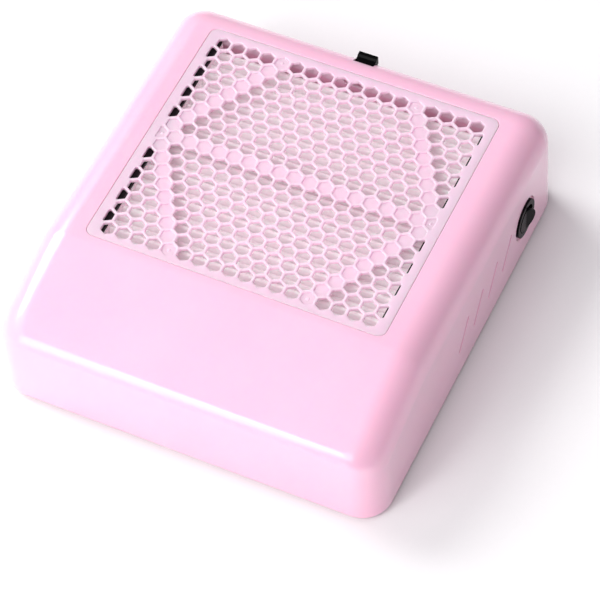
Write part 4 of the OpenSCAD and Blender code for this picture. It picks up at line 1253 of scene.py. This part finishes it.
# %% [markdown]
# ## The release latch
# A finger pulls this small black block to free the panel. Its top is hollowed behind a raised
# lip so that the finger does not slip. The outline is drawn from the side and swept across,
# then the nose that catches the panel and the leg that the spring pushes are added.

# %% Shape the latch
LATCH_BACK = box_mm("release_latch")[1][1]
LIP, LIP_SLOPE, HOLLOW = 2.4, 1.2, 1.3
NOSE_REACH, LEG_LOW, LEG_T = 1.2, TOP - 17.6, 2.5
latch_top = LATCH_Z + LATCH_H
latch_side = [(LATCH_FRONT, LATCH_Z), (LATCH_BACK, LATCH_Z), (LATCH_BACK, latch_top),
              (LATCH_BACK - LIP, latch_top), (LATCH_BACK - LIP - LIP_SLOPE, latch_top - HOLLOW),
              (LATCH_FRONT, latch_top - HOLLOW)]
nose = box_rings((-NOSE_W / 2, PANEL_BACK - NOSE_REACH, NOSE_LOW),
                 (NOSE_W / 2, LATCH_FRONT + 1, NOSE_HIGH))
leg = box_rings((-LATCH_W / 2, LATCH_FRONT, LEG_LOW),
                (LATCH_W / 2, LATCH_FRONT + LEG_T, LATCH_Z + 1))
block = [[(x, y, z) for y, z in latch_side] for x in (-LATCH_W / 2, LATCH_W / 2)]
latch_shape = carved(solid(block), ("UNION", solid(nose)), ("UNION", solid(leg)))
piece("latch_block", eased(latch_shape, 0.4), "latch", latch_black,
      ["release_latch"])

# %% [markdown]
# ## The latch's return spring
# The coil sits between the latch's leg and a fixed wall, so it gets shorter as the latch is
# pulled. A driver or an armature could make it shorten; here the spring rides on the housing,
# and the share of its length that stays when the latch is pulled all the way is worked out.

# %% Place the spring and work out its kept share
spring_low, spring_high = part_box("latch_spring")
joints = {joint["name"]: joint for joint in frame["record"]["behaviour"]["joints"]}
spring_length = spring_high.y - spring_low.y
kept_share = 1 - joints["latch_slide"]["range_m"][1] / spring_length
spring = piece("return_spring", from_cad("latch_spring"), "housing", steel,
               ["latch_spring"])
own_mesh(spring)
print("the spring keeps", round(kept_share, 3), "of", round(spring_length / MM, 2), "mm")

# %% [markdown]
# ## The floor and the light
# A pale sheet of card stands for a studio floor. Most of the light comes from one large lamp
# high behind the left side, so the right-hand wall falls into a deeper pink. A soft lamp in
# front and a weaker one beside it open up the front, a tall narrow lamp draws the bright line
# along the crease above the hand rest, and a dim room fills what is left.

# %% Floor, lamps and room


def floor_card():
    material, shader, start, place = finish_of("floor_card")
    fleck = noise(start, place, 3.0, 4.0)
    set_colour(start, shader, fleck, (0.93, 0.925, 0.93), (0.95, 0.945, 0.95))
    start.plug(shader.inputs["Roughness"], fleck * 0.1 + 0.8)
    set_relief(start, shader, fleck, 0.02)
    return material


floor_shape = bmesh.new()
bmesh.ops.create_grid(floor_shape, x_segments=8, y_segments=8, size=4000.0)
bmesh.ops.scale(floor_shape, vec=(MM, MM, MM), verts=floor_shape.verts)
floor = as_object(floor_shape, "floor")
floor.data.materials.append(floor_card())


def soft_lamp(name, azimuth, elevation, distance, width, height, power):
    light = bpy.data.lights.new(name, "AREA")
    light.shape, light.size, light.size_y, light.energy = "ELLIPSE", width, height, power
    lamp = bpy.data.objects.new(name, light)
    bpy.context.scene.collection.objects.link(lamp)
    lamp.matrix_world = standing_at(Vector((0, 0, 0.05)), distance,
                                    towards(math.radians(azimuth), math.radians(elevation)))


# name, azimuth and elevation in degrees, distance, width and height in metres, power in watts
LAMPS = [
    ("front_lamp", 2, 50, 2.2, 1.5, 1.5, 20),
    ("key_lamp", -40, 44, 2.2, 1.0, 1.0, 6.0),
    ("top_lamp", -105, 40, 4.0, 2.4, 2.4, 116),
    ("crease_lamp", -20, 28, 1.6, 0.5, 1.5, 8.5),
]
for lamp in LAMPS:
    soft_lamp(*lamp)
room = bpy.data.worlds.new("room")
bpy.context.scene.world = room
room.use_nodes = True
room.node_tree.nodes["Background"].inputs["Color"].default_value = rgba(1.0, 0.97, 1.02)
room.node_tree.nodes["Background"].inputs["Strength"].default_value = 0.32
bpy.context.scene.view_settings.view_transform = "Standard"
print("lamps:", ", ".join(lamp[0] for lamp in LAMPS))
